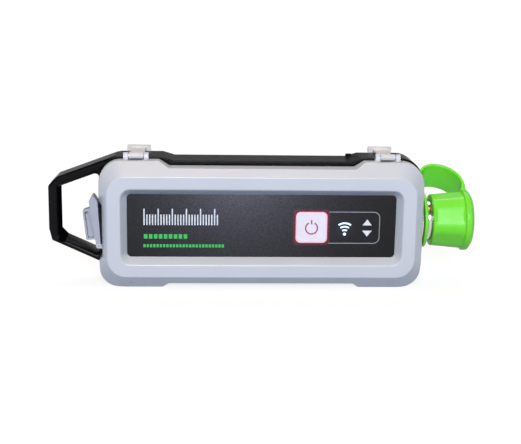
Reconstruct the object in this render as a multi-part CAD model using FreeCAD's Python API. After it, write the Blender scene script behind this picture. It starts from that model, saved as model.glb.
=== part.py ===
import FreeCAD, Part

import math
import os

# Hand-held cable and antenna analyzer, in millimetres. X runs along the case from the
# carrying loop to the test port, Y from the front panel to the back, Z up. The pieces are
# made with X = Y = 0 at the middle of the case and Z = 0 on the table, and each is then
# moved so that the origin is on the table under the middle of the whole object.

# ---- case
CASE_WIDTH = 229.2
CASE_HEIGHT = 83.0           # between the feet and between the latch bumps
FOOT_DROP = 3.6
BUMP_RISE = 4.4
FRAME_DEPTH = 28.0
REAR_DEPTH = 14.0
WALL = 2.8
RIM_EDGE_R = 1.6              # rim's two edges, and the rear cover's face
SLOPE_EDGE_R = 1.8            # where the slope meets the sides
SEAM_EDGE_R = 0.8             # covers' edges beside the frame
FOOT_INNER_X = 70.0
FOOT_SLOPE = 4.2
BUMP_INNER_X = 72.5
BUMP_SLOPE = 7.0
CORNER_TOP_R = 15.0
CORNER_LOW_R = 13.0
SLOPE_R = 2.4
SLOPE_R_MIN = 0.6            # the same corners on the inside of a wall
SLOPE_SHIFT = 0.35           # how far a slope moves outward for each mm that a wall goes in

# ---- rim, recess and panel of the front cover
RIM_SIDE_MARGIN = 6.2        # case end to rim
RIM_TOP_MARGIN = 5.1         # case top to rim top
RIM_BOTTOM_MARGIN = 6.1      # case bottom to rim bottom
RIM_R = 13.0
RIM_LAND = 8.9               # flat width of the rim
RIM_INNER_R = 7.5
RECESS_DEPTH = 6.8
RECESS_CHAMFER = 4.4
PANEL_R = 3.2
OVERLAY_T = 0.8
FLOOR_T = 2.0

# ---- power button
BUTTON_X = 35.1
BUTTON_DROP = 0.8            # below the rim's middle
BUTTON_SIZE = 22.3
BUTTON_R = 3.4
BUTTON_PROUD = 1.0
BUTTON_FLANGE = 1.2          # how far the flange reaches past the cap on each side
BUTTON_FLANGE_T = 1.0
BUTTON_TRAVEL = 0.6
GUIDE_WALL = 0.9             # light guide around the button
GUIDE_PROUD = 0.2
DOME_SIZE = 12.0
LED_SIZE = 1.8
LED_HEIGHT = 1.2
LED_PITCH_R = 9.0

# ---- boards and modules
BOARD_STANDOFF = 3.4         # pan floor to the front of the main board
BOARD_T = 1.6
BOARD_TO_SEAM = 7.0          # front of the main board to the front seam
BOARD_RIGHT_MARGIN = 24.6    # case end to the board's right edge
BOARD_CLEAR = 0.1            # under the middle screw's post
BOARD_POST_R = 3.2
BOARD_POST_MARGIN = 6.0      # board edge to its posts
SMALL_SCREW_R = 1.25
SMALL_HEAD_R = 2.3
SMALL_HEAD_T = 1.6
WIFI_SIZE = (16.0, 2.4, 22.0)
WIFI_MARGIN = 20.0           # board edge to the module's middle
RF_WIDTH = 66.0
RF_MARGIN = 12.0             # tray edge to the measuring unit
RF_HEIGHT = 40.0
RF_DEPTH = 18.0
RF_EDGE_R = 1.7
TRAY_T = 2.0
TRAY_END_CLEAR = 4.6         # tray edge to the test port's inner end
TRAY_HALF_Z = 31.0
TRAY_CORNER_R = 6.0
TRAY_SCREW_MARGIN = (8.0, 5.0)
TRAY_LUG_R = 4.0
TRAY_LUG_T = 4.0
BATTERY_WIDTH = 128.0
BATTERY_HEIGHT = 52.0
BATTERY_CLEAR = 2.2          # pack to the rear cover
BATTERY_X = -8.0
BATTERY_R = 4.0
CONTACT_COUNT = 4
CONTACT_SIZE = (6.0, 1.2, 2.6)
CONTACT_PITCH = 5.0

# ---- seams, seals and case screws
FRAME_PROUD_SIDE = 1.0       # frame past the covers at the ends
FRAME_PROUD_TOP = 3.2        # between the bumps
FRAME_PROUD_BUMP = 1.3
FRAME_BUMP_STEP = 1.7        # the frame's bump reaches further inward
FRAME_BUMP_SLOPE = 8.4
FRAME_WALL = 4.0             # inward from the covers' outline
FRAME_EDGE_R = 0.9
STUD_X = 64.6                # small anchor stud on the frame's top
STUD_BACK = 3.0              # stud to the rear seam
STUD_R = 2.2
STUD_HEIGHT = 1.8
SEAL_OUTER_INSET = 1.2
SEAL_WIDTH = 1.5
SEAL_DEPTH = 1.4
SCREW_SIDE_MARGIN = 22.6     # case end to the corner screws
SCREW_TOP_MARGIN = 9.7       # bump top to the corner screws
SCREW_FOOT_MARGIN = 8.6      # foot bottom to the corner screws
SCREW_MID_MARGIN = 8.3       # case top or bottom to the middle screws
POST_R = 3.6
POST_START = 4.0             # rim plane to the front end of a post
INSERT_R = 2.3
INSERT_LENGTH = 6.0
CASE_SCREW_R = 1.5
CASE_HEAD_R = 2.8
CASE_HEAD_T = 2.0
LUG_R = 4.6
LUG_T = 4.0
CASE_SCREW_BITE = 5.0

# ---- carrying loop: X from the case end, outward, and Z from the rim's middle
LOOP_REACH = 37.4
LOOP_FRONT_STEP = 4.0        # front seam to the loop's front face
LOOP_REAR_STEP = 2.0
LOOP_BAR = 7.2
LOOP_TOP_ANGLE = 20.4
LOOP_LOW_ANGLE = 24.5
LOOP_TOP_Z = 46.9            # where the upper arm leaves the frame's top
LOOP_TOP_X = -11.6
LOOP_SHOULDER_Z = 24.5
LOOP_LOW_Z = -6.8
LOOP_LOW_KNEE = (35.4, -15.2)
LOOP_CROWN_RUN = 6.2         # loop's left face to its top corner
LOOP_KNEE_R = 1.0
LOOP_LOW_R = 2.0
LOOP_SHOULDER_R = 3.0
LOOP_INNER_TOP_Z = 23.9
LOOP_INNER_LOW_Z = -9.8
LOOP_INNER_LOW_KNEE = (26.0, -14.4)
LOOP_CHAMFER = 1.6
LOOP_EDGE_R = 1.6
LOOP_ROOT_R = 3.0

# ---- rear cover
REAR_FACE_STEP = (1.4, 0.9)  # how much smaller than the rim, on each side
LIP_T = 1.7
LIP_DEPTH = 2.0
LIP_CLEAR = 0.3
TONGUE_X = 60.0
TONGUE_WIDTH = 16.0
TONGUE_LENGTH = 5.0

# ---- latches
LATCH_MARGIN = 25.9          # case end to the latch's middle
LATCH_BEFORE_SEAM = 6.0      # hinge pin to the front seam
LATCH_RISE = 3.2             # bump top to the hinge pin
LATCH_BARREL_R = 2.15
LATCH_WIDTH = 10.2
EAR_T = 3.2
EAR_LENGTH = 6.0
EAR_R = 2.2
EAR_CLEAR = 0.5
LATCH_PIN_R = 1.2
ARM_T = 1.2
ARM_CLEAR = 0.5              # above the frame's bump
TAB_WIDTH = 17.2
TAB_T = 4.4
TAB_HEIGHT = 4.2
TAB_SETBACK = 2.4            # rear seam to the tab's front face

# ---- port bay and door in the left end
NOTCH_DEPTH = 2.5
NOTCH_TOP = 19.5             # above the rim's middle, at the case's surface
NOTCH_LOW = -25.0
NOTCH_TOP_RUN = 5.4          # height of the sloping ends
NOTCH_LOW_RUN = 2.6
NOTCH_FRONT = 2.0
BAY_WALL = 2.5
WINDOW_CLEAR = 0.3           # around the charging jack
WINDOW_TOP_CLEAR = 2.5       # above the data port
WINDOW_LOW_CLEAR = 0.7
GASKET_T = 1.3
GASKET_BAND = 0.8
DOOR_WIDTH = 11.1
DOOR_T_LOW = 3.2
DOOR_T_TOP = 6.0
DOOR_SEAT_CLEAR = 0.2
DOOR_TOP = 21.1
DOOR_INNER_TOP = 16.6
DOOR_OUTER_TOP = 17.4
DOOR_POINT = 3.6             # the plate's top point, out from its inner face
DOOR_TOP_FLAT = 1.0
DOOR_EDGE_R = 1.0
DOOR_PIN_CLEAR = 1.6         # gasket to the hinge's knuckle
DOOR_PIN_R = 0.75
DOOR_LUG_T = 1.2
DOOR_SEAM_GAP = 0.1
DOOR_CLEAR = 0.2
DOOR_AJAR = 3.5              # degrees open at rest
GRIP_TOP = 12.6
GRIP_LOW = -10.6
GRIP_PROUD = 6.4
GRIP_INSET = 1.4
GRIP_BEVEL = 2.0
GRIP_RIM = 1.3               # rim around the pocket in the grip's front
GRIP_POCKET = 4.6
DATA_PORT_Z = 5.0
DATA_PORT_SIZE = (12.0, 3.1, 8.9)
DATA_PORT_WALL = 0.4
DATA_PORT_BACK = 2.8
JACK_Z = -6.4
JACK_R = 3.9
JACK_BORE_R = 2.75
JACK_PIN_R = 1.0
JACK_LENGTH = 8.5
JACK_DEPTH = 6.0
PORT_SETBACK = 0.6           # behind the bay wall's outer face

# ---- test port: 7/16 DIN female, bulkhead type
PORT_DROP = 0.8
CONNECTOR_GASKET_T = 0.5
FLANGE_R = 17.5
FLANGE_T = 1.8
THREAD_R = 14.5
THREAD_CHAMFER = 1.0
NECK_R = 13.5
NECK_LENGTH = 3.4
BARREL_LENGTH = 26.0
SOCKET_R = 10.6
SOCKET_DEPTH = 18.0
SHELL_R = 8.2
SHELL_T = 1.4
SHELL_SETBACK = 3.0
BULKHEAD_R = 9.0
BULKHEAD_LENGTH = 15.0
NUT_FLATS = 22.0
NUT_T = 4.0
INSULATOR_LENGTH = 4.0
PORT_CONTACT_R = 3.5
CONTACT_BORE_R = 2.2
CONTACT_SETBACK = 2.5
PIGTAIL_R = 1.8
PIGTAIL_NUT_R = 4.2
PIGTAIL_NUT_LENGTH = 6.0
PIGTAIL_CLEAR = 1.3          # pigtail's nut to the tray

# ---- dust cap and tether
RING_CLEAR = 0.2
RING_T = 2.3
RING_R = 20.0
RING_TAB_R = 24.0
CAP_GAP = 4.2                # ring to the cap's opening
CAP_LENGTH = 30.6
CAP_BORE_CLEAR = 0.3
CAP_OPEN_R = 18.7
CAP_BODY_R = 20.8
CAP_FLANGE_R = 22.2
CAP_FLANGE_T = 4.6
CAP_CROWN = 2.6
CAP_CROWN_R = 17.0
CAP_STEP = 0.8
CAP_FLATS = 6                # finger flats around the barrel
CAP_FLAT_R = 19.3            # axis to each flat
CAP_TAB_R = 25.0
CAP_TAB_T = 2.4
STRAP_WIDTH = 25.0
STRAP_T = 2.3
STRAP_LEAN = 52.0            # degrees back from straight up
STRAP_APEX_R = 44.8
STRAP_APEX_X = 12.0          # from the ring's middle
STRAP_KNEE_R = 36.0
STRAP_END_CLEAR = 0.3

# ---- fits
FIT = 0.02                   # a pin or insert pressed into its seat
RUNNING = 0.05               # a pin turning in a bore
SLIDE_CLEAR = 0.2
OVER = 1.0                   # how far a cut runs past the face it opens

# ---- planes and centres worked out from the sizes above
PAN_DEPTH = RECESS_DEPTH + OVERLAY_T + FLOOR_T
FRONT_DEPTH = PAN_DEPTH + BOARD_STANDOFF + BOARD_TO_SEAM
Y_RIM = -(FRONT_DEPTH + FRAME_DEPTH + REAR_DEPTH) / 2
Y_FRONT_SEAM = Y_RIM + FRONT_DEPTH
Y_REAR_SEAM = Y_FRONT_SEAM + FRAME_DEPTH
Y_BACK = Y_REAR_SEAM + REAR_DEPTH
Y_PANEL = Y_RIM + RECESS_DEPTH
Y_FLOOR = Y_PANEL + OVERLAY_T
Y_FLOOR_BACK = Y_RIM + PAN_DEPTH
Y_BOARD = Y_FLOOR_BACK + BOARD_STANDOFF
Z_LOW = FOOT_DROP
Z_TOP = Z_LOW + CASE_HEIGHT
Z_BUMP = Z_TOP + BUMP_RISE
RIM_WIDTH = CASE_WIDTH - 2 * RIM_SIDE_MARGIN
RIM_HEIGHT = CASE_HEIGHT - RIM_BOTTOM_MARGIN - RIM_TOP_MARGIN
Z_MID = Z_LOW + RIM_BOTTOM_MARGIN + RIM_HEIGHT / 2
HALF = CASE_WIDTH / 2
BUTTON_Z = Z_MID - BUTTON_DROP
X_FRAME_END = HALF + FRAME_PROUD_SIDE
X_FRAME_IN = HALF - FRAME_WALL
FRAME_BUMP_INNER_X = BUMP_INNER_X - FRAME_BUMP_STEP
SCREW_CORNER_X = HALF - SCREW_SIDE_MARGIN

PORT_Y = Y_FRONT_SEAM + FRAME_DEPTH / 2
PORT_Z = Z_MID - PORT_DROP
X_FLANGE = X_FRAME_END + CONNECTOR_GASKET_T
X_RING = X_FLANGE + FLANGE_T + RING_CLEAR
X_CAP = X_RING + RING_T + CAP_GAP
X_CAP_END = X_CAP + CAP_LENGTH
X_CAP_TAB = X_CAP_END - CAP_CROWN - CAP_TAB_T
X_PORT_END = X_FLANGE + FLANGE_T + BARREL_LENGTH
X_SHANK = X_FRAME_END - BULKHEAD_LENGTH

X_BAY = -HALF + NOTCH_DEPTH
X_BOARD_LEFT = X_BAY + PORT_SETBACK + JACK_LENGTH
X_BOARD_RIGHT = HALF - BOARD_RIGHT_MARGIN
BOARD_HEIGHT = 2 * (Z_TOP - SCREW_MID_MARGIN - POST_R - BOARD_CLEAR - Z_MID)
BOARD_POST_X = X_BOARD_RIGHT - BOARD_POST_MARGIN
BOARD_POST_Z = BOARD_HEIGHT / 2 - BOARD_POST_MARGIN
Y_TRAY = PORT_Y + PIGTAIL_NUT_R + PIGTAIL_CLEAR
TRAY_HALF_X = X_SHANK - TRAY_END_CLEAR
X_RF = TRAY_HALF_X - RF_MARGIN

LATCH_X = HALF - LATCH_MARGIN
LATCH_Y = Y_FRONT_SEAM - LATCH_BEFORE_SEAM
LATCH_Z = Z_BUMP + LATCH_RISE

Z_DATA_PORT = Z_MID + DATA_PORT_Z
Z_JACK = Z_MID + JACK_Z
Y_JACK = Y_BOARD + BOARD_T / 2
Y_WINDOW = (Y_JACK - JACK_R - WINDOW_CLEAR, Y_JACK + JACK_R + WINDOW_CLEAR)
Z_WINDOW = (Z_JACK - JACK_R - WINDOW_LOW_CLEAR, Z_DATA_PORT + DATA_PORT_SIZE[2] / 2 + WINDOW_TOP_CLEAR)
X_DOOR = X_BAY - GASKET_T - DOOR_SEAT_CLEAR
DOOR_PIN_X = X_DOOR - DOOR_T_LOW / 2
DOOR_PIN_Z = Z_WINDOW[0] - GASKET_BAND - DOOR_PIN_CLEAR - DOOR_T_LOW / 2
Y_DOOR_REAR = Y_FRONT_SEAM - DOOR_SEAM_GAP - DOOR_LUG_T - DOOR_CLEAR
Y_DOOR_FRONT = Y_DOOR_REAR - DOOR_WIDTH

LEAN = math.radians(STRAP_LEAN)
STRAP_BACK = PORT_Y + STRAP_APEX_R * math.sin(LEAN) + STRAP_WIDTH / 2 * math.cos(LEAN)
ORIGIN = FreeCAD.Vector((X_CAP_END - HALF - LOOP_REACH) / 2, (Y_RIM + STRAP_BACK) / 2, 0)

X_AXIS = FreeCAD.Vector(1, 0, 0)
Y_AXIS = FreeCAD.Vector(0, 1, 0)
Z_AXIS = FreeCAD.Vector(0, 0, 1)


def vec(x, y, z):
    return FreeCAD.Vector(x, y, z)


# ---- shape helpers

def box(x0, x1, y0, y1, z0, z1):
    """A block between two corners."""
    return Part.makeBox(x1 - x0, y1 - y0, z1 - z0, vec(x0, y0, z0))


def rod(radius, start, direction, length):
    """A round bar from a point along a direction."""
    return Part.makeCylinder(radius, length, start, direction)


def wire_xz(corners, y):
    """A closed outline in a plane of constant Y: corners are (x, z, radius)."""
    ends = []
    for i, (x, z, radius) in enumerate(corners):
        here = vec(x, y, z)
        before = vec(corners[i - 1][0], y, corners[i - 1][1])
        after = vec(corners[(i + 1) % len(corners)][0], y, corners[(i + 1) % len(corners)][1])
        back = (before - here).normalize()
        ahead = (after - here).normalize()
        half_angle = back.getAngle(ahead) / 2
        reach = radius / math.tan(half_angle)
        middle = (back + ahead).normalize() * (radius / math.sin(half_angle) - radius)
        ends.append((here + back * reach, here + middle, here + ahead * reach))
    edges = []
    for i, (arc_start, arc_mid, arc_end) in enumerate(ends):
        if corners[i][2] > 0:
            edges.append(Part.Arc(arc_start, arc_mid, arc_end).toShape())
        edges.append(Part.makeLine(arc_end, ends[(i + 1) % len(ends)][0]))
    return Part.Wire(edges)


def prism(corners, y0, y1):
    """An outline in XZ carried from y0 to y1."""
    return Part.Face(wire_xz(corners, y0)).extrude(vec(0, y1 - y0, 0))


def rect(cx, cz, width, height, radius):
    """Corners of a rounded rectangle."""
    x, z = width / 2, height / 2
    return [(cx + sx * x, cz + sz * z, radius) for sx, sz in ((-1, -1), (1, -1), (1, 1), (-1, 1))]


def taper(corners0, y0, corners1, y1):
    """A solid between two outlines that have the same number of corners."""
    return Part.makeLoft([wire_xz(corners0, y0), wire_xz(corners1, y1)], True, True)


def lathe(points, x0, y0, z0):
    """A ring or cup turned about an X axis: points are (x, radius)."""
    corners = [vec(x0 + x, y0, z0 + r) for x, r in points]
    face = Part.Face(Part.makePolygon(corners + corners[:1]))
    return face.revolve(vec(x0, y0, z0), X_AXIS, 360)


def union(shapes):
    """One solid from pieces that touch or overlap."""
    joined = shapes[0].fuse(shapes[1:])
    return joined.removeSplitter()


def save(name, shape):
    """Write one node, moved so that the origin is under the middle of the whole object."""
    shape.translate(ORIGIN * -1)
    shape.exportStep(f"parts/{name}.step")


# ---- outlines

def case_outline(inset=0.0):
    """The covers' outline, with feet below and latch bumps on top."""
    x = HALF - inset
    shift = SLOPE_SHIFT * inset
    foot = FOOT_INNER_X + shift
    bump = BUMP_INNER_X + shift
    small = max(SLOPE_R - inset / 2, SLOPE_R_MIN)
    low_r = CORNER_LOW_R - inset
    top_r = CORNER_TOP_R - inset
    z_foot, z_low, z_top, z_bump = inset, Z_LOW + inset, Z_TOP - inset, Z_BUMP - inset
    right = [(foot - FOOT_SLOPE, z_low, small), (foot, z_foot, small), (x, z_foot, low_r),
             (x, z_bump, top_r), (bump, z_bump, small), (bump - BUMP_SLOPE, z_top, small)]
    return right + [(-px, pz, r) for px, pz, r in reversed(right)]


def frame_outline(inset=0.0):
    """The middle frame's outline, a little proud of the covers."""
    x = X_FRAME_END - inset
    shift = SLOPE_SHIFT * inset
    foot = FOOT_INNER_X + shift
    bump = FRAME_BUMP_INNER_X + shift
    small = max(SLOPE_R - inset / 2, SLOPE_R_MIN)
    z_foot, z_low = inset, Z_LOW + inset
    z_top = Z_TOP + FRAME_PROUD_TOP - inset
    z_bump = Z_BUMP + FRAME_PROUD_BUMP - inset
    low_r = CORNER_LOW_R + FRAME_PROUD_SIDE - inset
    top_r = CORNER_TOP_R + FRAME_PROUD_SIDE - inset
    right = [(foot - FOOT_SLOPE, z_low, small), (foot, z_foot, small), (x, z_foot, low_r),
             (x, z_bump, top_r), (bump, z_bump, small), (bump - FRAME_BUMP_SLOPE, z_top, small)]
    return right + [(-px, pz, r) for px, pz, r in reversed(right)]


def rim_rect(grow, radius):
    """A rounded rectangle that stays parallel to the rim's outer edge."""
    return rect(0, Z_MID, RIM_WIDTH + 2 * grow, RIM_HEIGHT + 2 * grow, radius)


def panel_rect(inset):
    """The panel recess at its floor."""
    shrink = 2 * (RIM_LAND + RECESS_CHAMFER + inset)
    return rect(0, Z_MID, RIM_WIDTH - shrink, RIM_HEIGHT - shrink, PANEL_R)


def case_screw_places():
    """X and Z of the six case screws."""
    places = []
    for x in (-SCREW_CORNER_X, SCREW_CORNER_X):
        places.append((x, Z_BUMP - SCREW_TOP_MARGIN))
        places.append((x, SCREW_FOOT_MARGIN))
    places.append((0, Z_TOP - SCREW_MID_MARGIN))
    places.append((0, Z_LOW + SCREW_MID_MARGIN))
    return places


def board_screw_places():
    """X and Z of the main board's screws."""
    return [(x, Z_MID + z) for x in (-BOARD_POST_X, BOARD_POST_X) for z in (-BOARD_POST_Z, BOARD_POST_Z)]


def tray_screw_places():
    """X and Z of the battery tray's screws."""
    x = TRAY_HALF_X - TRAY_SCREW_MARGIN[0]
    z = TRAY_HALF_Z - TRAY_SCREW_MARGIN[1]
    return [(sx * x, Z_MID + sz * z) for sx in (-1, 1) for sz in (-1, 1)]


# ---- front cover and panel

def edges_between(shape, y0, y1):
    """Edges of a shape that lie wholly between two depths."""
    return [e for e in shape.Edges if e.BoundBox.YMin > y0 - FIT and e.BoundBox.YMax < y1 + FIT]


def front_shell():
    """Cover blank: full outline, run back from the rim at 45 degrees, with the recess and soft edges."""
    block = prism(case_outline(), Y_RIM, Y_FRONT_SEAM)
    slope = taper(rim_rect(0, RIM_R), Y_RIM, rim_rect(FRONT_DEPTH, RIM_R + FRONT_DEPTH), Y_FRONT_SEAM)
    blank = block.common(slope)
    bends = edges_between(blank, Y_RIM + SLOPE_EDGE_R, Y_FRONT_SEAM - SEAM_EDGE_R)
    blank = blank.makeFillet(SLOPE_EDGE_R, bends)
    recess = taper(rim_rect(-RIM_LAND, RIM_INNER_R), Y_RIM, panel_rect(0), Y_PANEL)
    blank = blank.cut(recess)
    blank = blank.makeFillet(RIM_EDGE_R, edges_between(blank, Y_RIM, Y_RIM))
    return blank.makeFillet(SEAM_EDGE_R, edges_between(blank, Y_FRONT_SEAM, Y_FRONT_SEAM))


def front_hollow():
    """Room inside the cover, around the pan that carries the panel."""
    y0 = Y_RIM + WALL
    run = Y_FRONT_SEAM - y0
    inset = WALL * SLOPE_SHIFT
    room = prism(case_outline(WALL), y0, Y_FRONT_SEAM)
    slope = taper(rim_rect(-inset, RIM_R - inset), y0, rim_rect(run - inset, RIM_R + run), Y_FRONT_SEAM)
    pan_grow = WALL - RIM_LAND
    pan = prism(rim_rect(pan_grow, RIM_INNER_R + WALL), Y_RIM, Y_FLOOR_BACK)
    return room.common(slope).cut(pan)


def notch_corners():
    """The port bay's outline seen from the front, open to the left."""
    top, low = Z_MID + NOTCH_TOP, Z_MID + NOTCH_LOW
    outside = -HALF - NOTCH_DEPTH
    return [(outside, low - NOTCH_LOW_RUN, 0), (X_BAY, low + NOTCH_LOW_RUN, 0),
            (X_BAY, top - NOTCH_TOP_RUN, 0), (outside, top + NOTCH_TOP_RUN, 0)]


def door_lugs():
    """Two small lugs in the bay that carry the door's pin."""
    lugs = []
    z = DOOR_PIN_Z
    for y0 in (Y_DOOR_FRONT - DOOR_CLEAR - DOOR_LUG_T, Y_DOOR_REAR + DOOR_CLEAR):
        knuckle = rod(DOOR_T_LOW / 2, vec(DOOR_PIN_X, y0, z), Y_AXIS, DOOR_LUG_T)
        web = box(DOOR_PIN_X, X_BAY + OVER, y0, y0 + DOOR_LUG_T, z - DOOR_T_LOW / 2, z + DOOR_T_LOW / 2)
        lugs += [knuckle, web]
    return lugs


def latch_ears(x_mid):
    """The two ears that carry one latch's pin."""
    ears = []
    for side in (-1, 1):
        inner = x_mid + side * (LATCH_WIDTH / 2 + EAR_CLEAR)
        x0 = min(inner, inner + side * EAR_T)
        y0 = LATCH_Y - EAR_LENGTH / 2
        foot = box(x0, x0 + EAR_T, y0, y0 + EAR_LENGTH, Z_BUMP - WALL / 2, LATCH_Z)
        ears += [foot, rod(EAR_R, vec(x0, LATCH_Y, LATCH_Z), X_AXIS, EAR_T)]
    return ears


def front_cover():
    """Light grey front cover with the recessed panel, latch ears and port bay."""
    blank = front_shell()
    bay_wall = box(X_BAY, X_BAY + BAY_WALL, Y_RIM + NOTCH_FRONT + WALL, Y_FRONT_SEAM,
                   Z_MID + NOTCH_LOW - WALL, Z_MID + NOTCH_TOP + WALL)
    body = blank.cut(front_hollow()).fuse(bay_wall.common(blank))
    posts = [rod(POST_R, vec(x, Y_RIM + POST_START, z), Y_AXIS, FRONT_DEPTH - POST_START)
             for x, z in case_screw_places()]
    board_posts = [rod(BOARD_POST_R, vec(x, Y_FLOOR_BACK - FLOOR_T / 2, z), Y_AXIS,
                       Y_BOARD - Y_FLOOR_BACK + FLOOR_T / 2) for x, z in board_screw_places()]
    ears = latch_ears(-LATCH_X) + latch_ears(LATCH_X)
    body = body.fuse(posts + board_posts + ears)
    body = body.cut(prism(notch_corners(), Y_RIM - OVER, Y_FRONT_SEAM + OVER))
    body = body.fuse(door_lugs())
    well = prism(panel_rect(0), Y_PANEL, Y_FLOOR)
    window = box(X_BAY - OVER, X_BAY + BAY_WALL + OVER, *Y_WINDOW, *Z_WINDOW)
    guide = BUTTON_SIZE + 2 * (SLIDE_CLEAR + GUIDE_WALL + FIT)
    hole = prism(rect(BUTTON_X, BUTTON_Z, guide, guide, BUTTON_R + GUIDE_WALL), Y_PANEL, Y_FLOOR_BACK + OVER)
    cuts = [well, window, hole]
    for x, z in case_screw_places():
        y0 = Y_FRONT_SEAM - INSERT_LENGTH - OVER
        cuts.append(rod(INSERT_R + FIT, vec(x, y0, z), Y_AXIS, INSERT_LENGTH + 2 * OVER))
    for x, z in board_screw_places():
        cuts.append(rod(SMALL_SCREW_R + FIT, vec(x, Y_FLOOR_BACK, z), Y_AXIS, Y_BOARD - Y_FLOOR_BACK + OVER))
    for side in (-1, 1):
        cuts.append(rod(LATCH_PIN_R + FIT, vec(side * LATCH_X - TAB_WIDTH, LATCH_Y, LATCH_Z), X_AXIS,
                        2 * TAB_WIDTH))
    cuts.append(rod(DOOR_PIN_R + FIT, vec(DOOR_PIN_X, Y_RIM, DOOR_PIN_Z), Y_AXIS, FRONT_DEPTH + OVER))
    return body.cut(cuts).removeSplitter()


def panel_overlay():
    """Dark printed panel in the recess, with the button's hole."""
    sheet = prism(panel_rect(FIT), Y_PANEL, Y_FLOOR)
    hole = BUTTON_SIZE + 2 * (SLIDE_CLEAR + GUIDE_WALL + FIT)
    corners = rect(BUTTON_X, BUTTON_Z, hole, hole, BUTTON_R + GUIDE_WALL)
    return sheet.cut(prism(corners, Y_PANEL - OVER, Y_FLOOR + OVER))


def power_button():
    """Translucent square key with a flange behind the floor."""
    key = prism(rect(BUTTON_X, BUTTON_Z, BUTTON_SIZE, BUTTON_SIZE, BUTTON_R),
                Y_PANEL - BUTTON_PROUD, Y_FLOOR_BACK + SLIDE_CLEAR)
    wide = BUTTON_SIZE + 2 * BUTTON_FLANGE
    y0 = Y_FLOOR_BACK + SLIDE_CLEAR
    flange = prism(rect(BUTTON_X, BUTTON_Z, wide, wide, BUTTON_R), y0, y0 + BUTTON_FLANGE_T)
    front = [e for e in key.Edges if abs(e.BoundBox.YMax - key.BoundBox.YMin) < FIT]
    return union([key.makeFillet(BUTTON_PROUD / 2, front), flange])


def light_guide():
    """Clear frame around the key that carries the red light."""
    outer = BUTTON_SIZE + 2 * (SLIDE_CLEAR + GUIDE_WALL)
    inner = BUTTON_SIZE + 2 * SLIDE_CLEAR
    y0, y1 = Y_PANEL - GUIDE_PROUD, Y_FLOOR_BACK
    ring = prism(rect(BUTTON_X, BUTTON_Z, outer, outer, BUTTON_R + GUIDE_WALL), y0, y1)
    return ring.cut(prism(rect(BUTTON_X, BUTTON_Z, inner, inner, BUTTON_R), y0 - OVER, y1 + OVER))


def button_dome():
    """Silicone return dome between the key and the main board."""
    y0 = Y_FLOOR_BACK + SLIDE_CLEAR + BUTTON_FLANGE_T + BUTTON_TRAVEL + SLIDE_CLEAR / 2
    return prism(rect(BUTTON_X, BUTTON_Z, DOME_SIZE, DOME_SIZE, BUTTON_R), y0, Y_BOARD)


def status_leds():
    """Four lamps on the main board behind the light guide."""
    lamps = []
    for dx, dz in ((-1, 0), (1, 0), (0, -1), (0, 1)):
        x, z = BUTTON_X + dx * LED_PITCH_R, BUTTON_Z + dz * LED_PITCH_R
        lamps.append(box(x - LED_SIZE / 2, x + LED_SIZE / 2, Y_BOARD - LED_HEIGHT, Y_BOARD,
                         z - LED_SIZE / 2, z + LED_SIZE / 2))
    return Part.makeCompound(lamps)


# ---- electronics

def main_board():
    """Control board on four posts behind the panel."""
    board = box(X_BOARD_LEFT, X_BOARD_RIGHT, Y_BOARD, Y_BOARD + BOARD_T,
                Z_MID - BOARD_HEIGHT / 2, Z_MID + BOARD_HEIGHT / 2)
    holes = [rod(SMALL_SCREW_R + RUNNING, vec(x, Y_BOARD - OVER, z), Y_AXIS, BOARD_T + 2 * OVER)
             for x, z in board_screw_places()]
    return board.cut(holes)


def headed_screw(radius, head_r, head_t, seat, length):
    """A screw whose head sits on a seat, with its shank towards the front."""
    shank = rod(radius, seat, Y_AXIS * -1, length)
    head = rod(head_r, seat, Y_AXIS, head_t)
    recess = rod(head_r / 2, seat + Y_AXIS * head_t, Y_AXIS * -1, head_t / 2)
    return shank.fuse(head).removeSplitter().cut(recess)


def small_screw(seat, length):
    """One of the small screws that hold the board and the tray."""
    return headed_screw(SMALL_SCREW_R, SMALL_HEAD_R, SMALL_HEAD_T, seat, length)


def board_screws():
    """Four screws from behind the main board into its posts."""
    length = BOARD_T + (Y_BOARD - Y_FLOOR_BACK) - SLIDE_CLEAR
    return Part.makeCompound([small_screw(vec(x, Y_BOARD + BOARD_T, z), length)
                              for x, z in board_screw_places()])


def wifi_module():
    """Wireless module on the back of the main board."""
    w, d, h = WIFI_SIZE
    x0 = X_BOARD_RIGHT - WIFI_MARGIN - w / 2
    y0 = Y_BOARD + BOARD_T
    return box(x0, x0 + w, y0, y0 + d, Z_MID - h / 2, Z_MID + h / 2)


def rf_module():
    """Screened measuring unit, hung on the front of the battery tray."""
    can = box(X_RF - RF_WIDTH, X_RF, Y_TRAY - RF_DEPTH, Y_TRAY, Z_MID - RF_HEIGHT / 2, Z_MID + RF_HEIGHT / 2)
    side = [e for e in can.Edges if abs(e.BoundBox.YLength - RF_DEPTH) < FIT]
    return can.makeFillet(RF_EDGE_R, side)


def battery_tray():
    """Plate across the frame that carries the battery and the measuring unit."""
    plate = prism(rect(0, Z_MID, 2 * TRAY_HALF_X, 2 * TRAY_HALF_Z, TRAY_CORNER_R), Y_TRAY, Y_TRAY + TRAY_T)
    holes = [rod(SMALL_SCREW_R + RUNNING, vec(x, Y_TRAY - OVER, z), Y_AXIS, TRAY_T + 2 * OVER)
             for x, z in tray_screw_places()]
    return plate.cut(holes)


def tray_screws():
    """Four screws through the tray into the frame's lugs."""
    length = TRAY_T + TRAY_LUG_T - SLIDE_CLEAR
    return Part.makeCompound([small_screw(vec(x, Y_TRAY + TRAY_T, z), length)
                              for x, z in tray_screw_places()])


def battery_pack():
    """Rechargeable pack behind the tray."""
    corners = rect(BATTERY_X, Z_MID, BATTERY_WIDTH, BATTERY_HEIGHT, BATTERY_R)
    return prism(corners, Y_TRAY + TRAY_T, Y_BACK - WALL - BATTERY_CLEAR)


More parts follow.
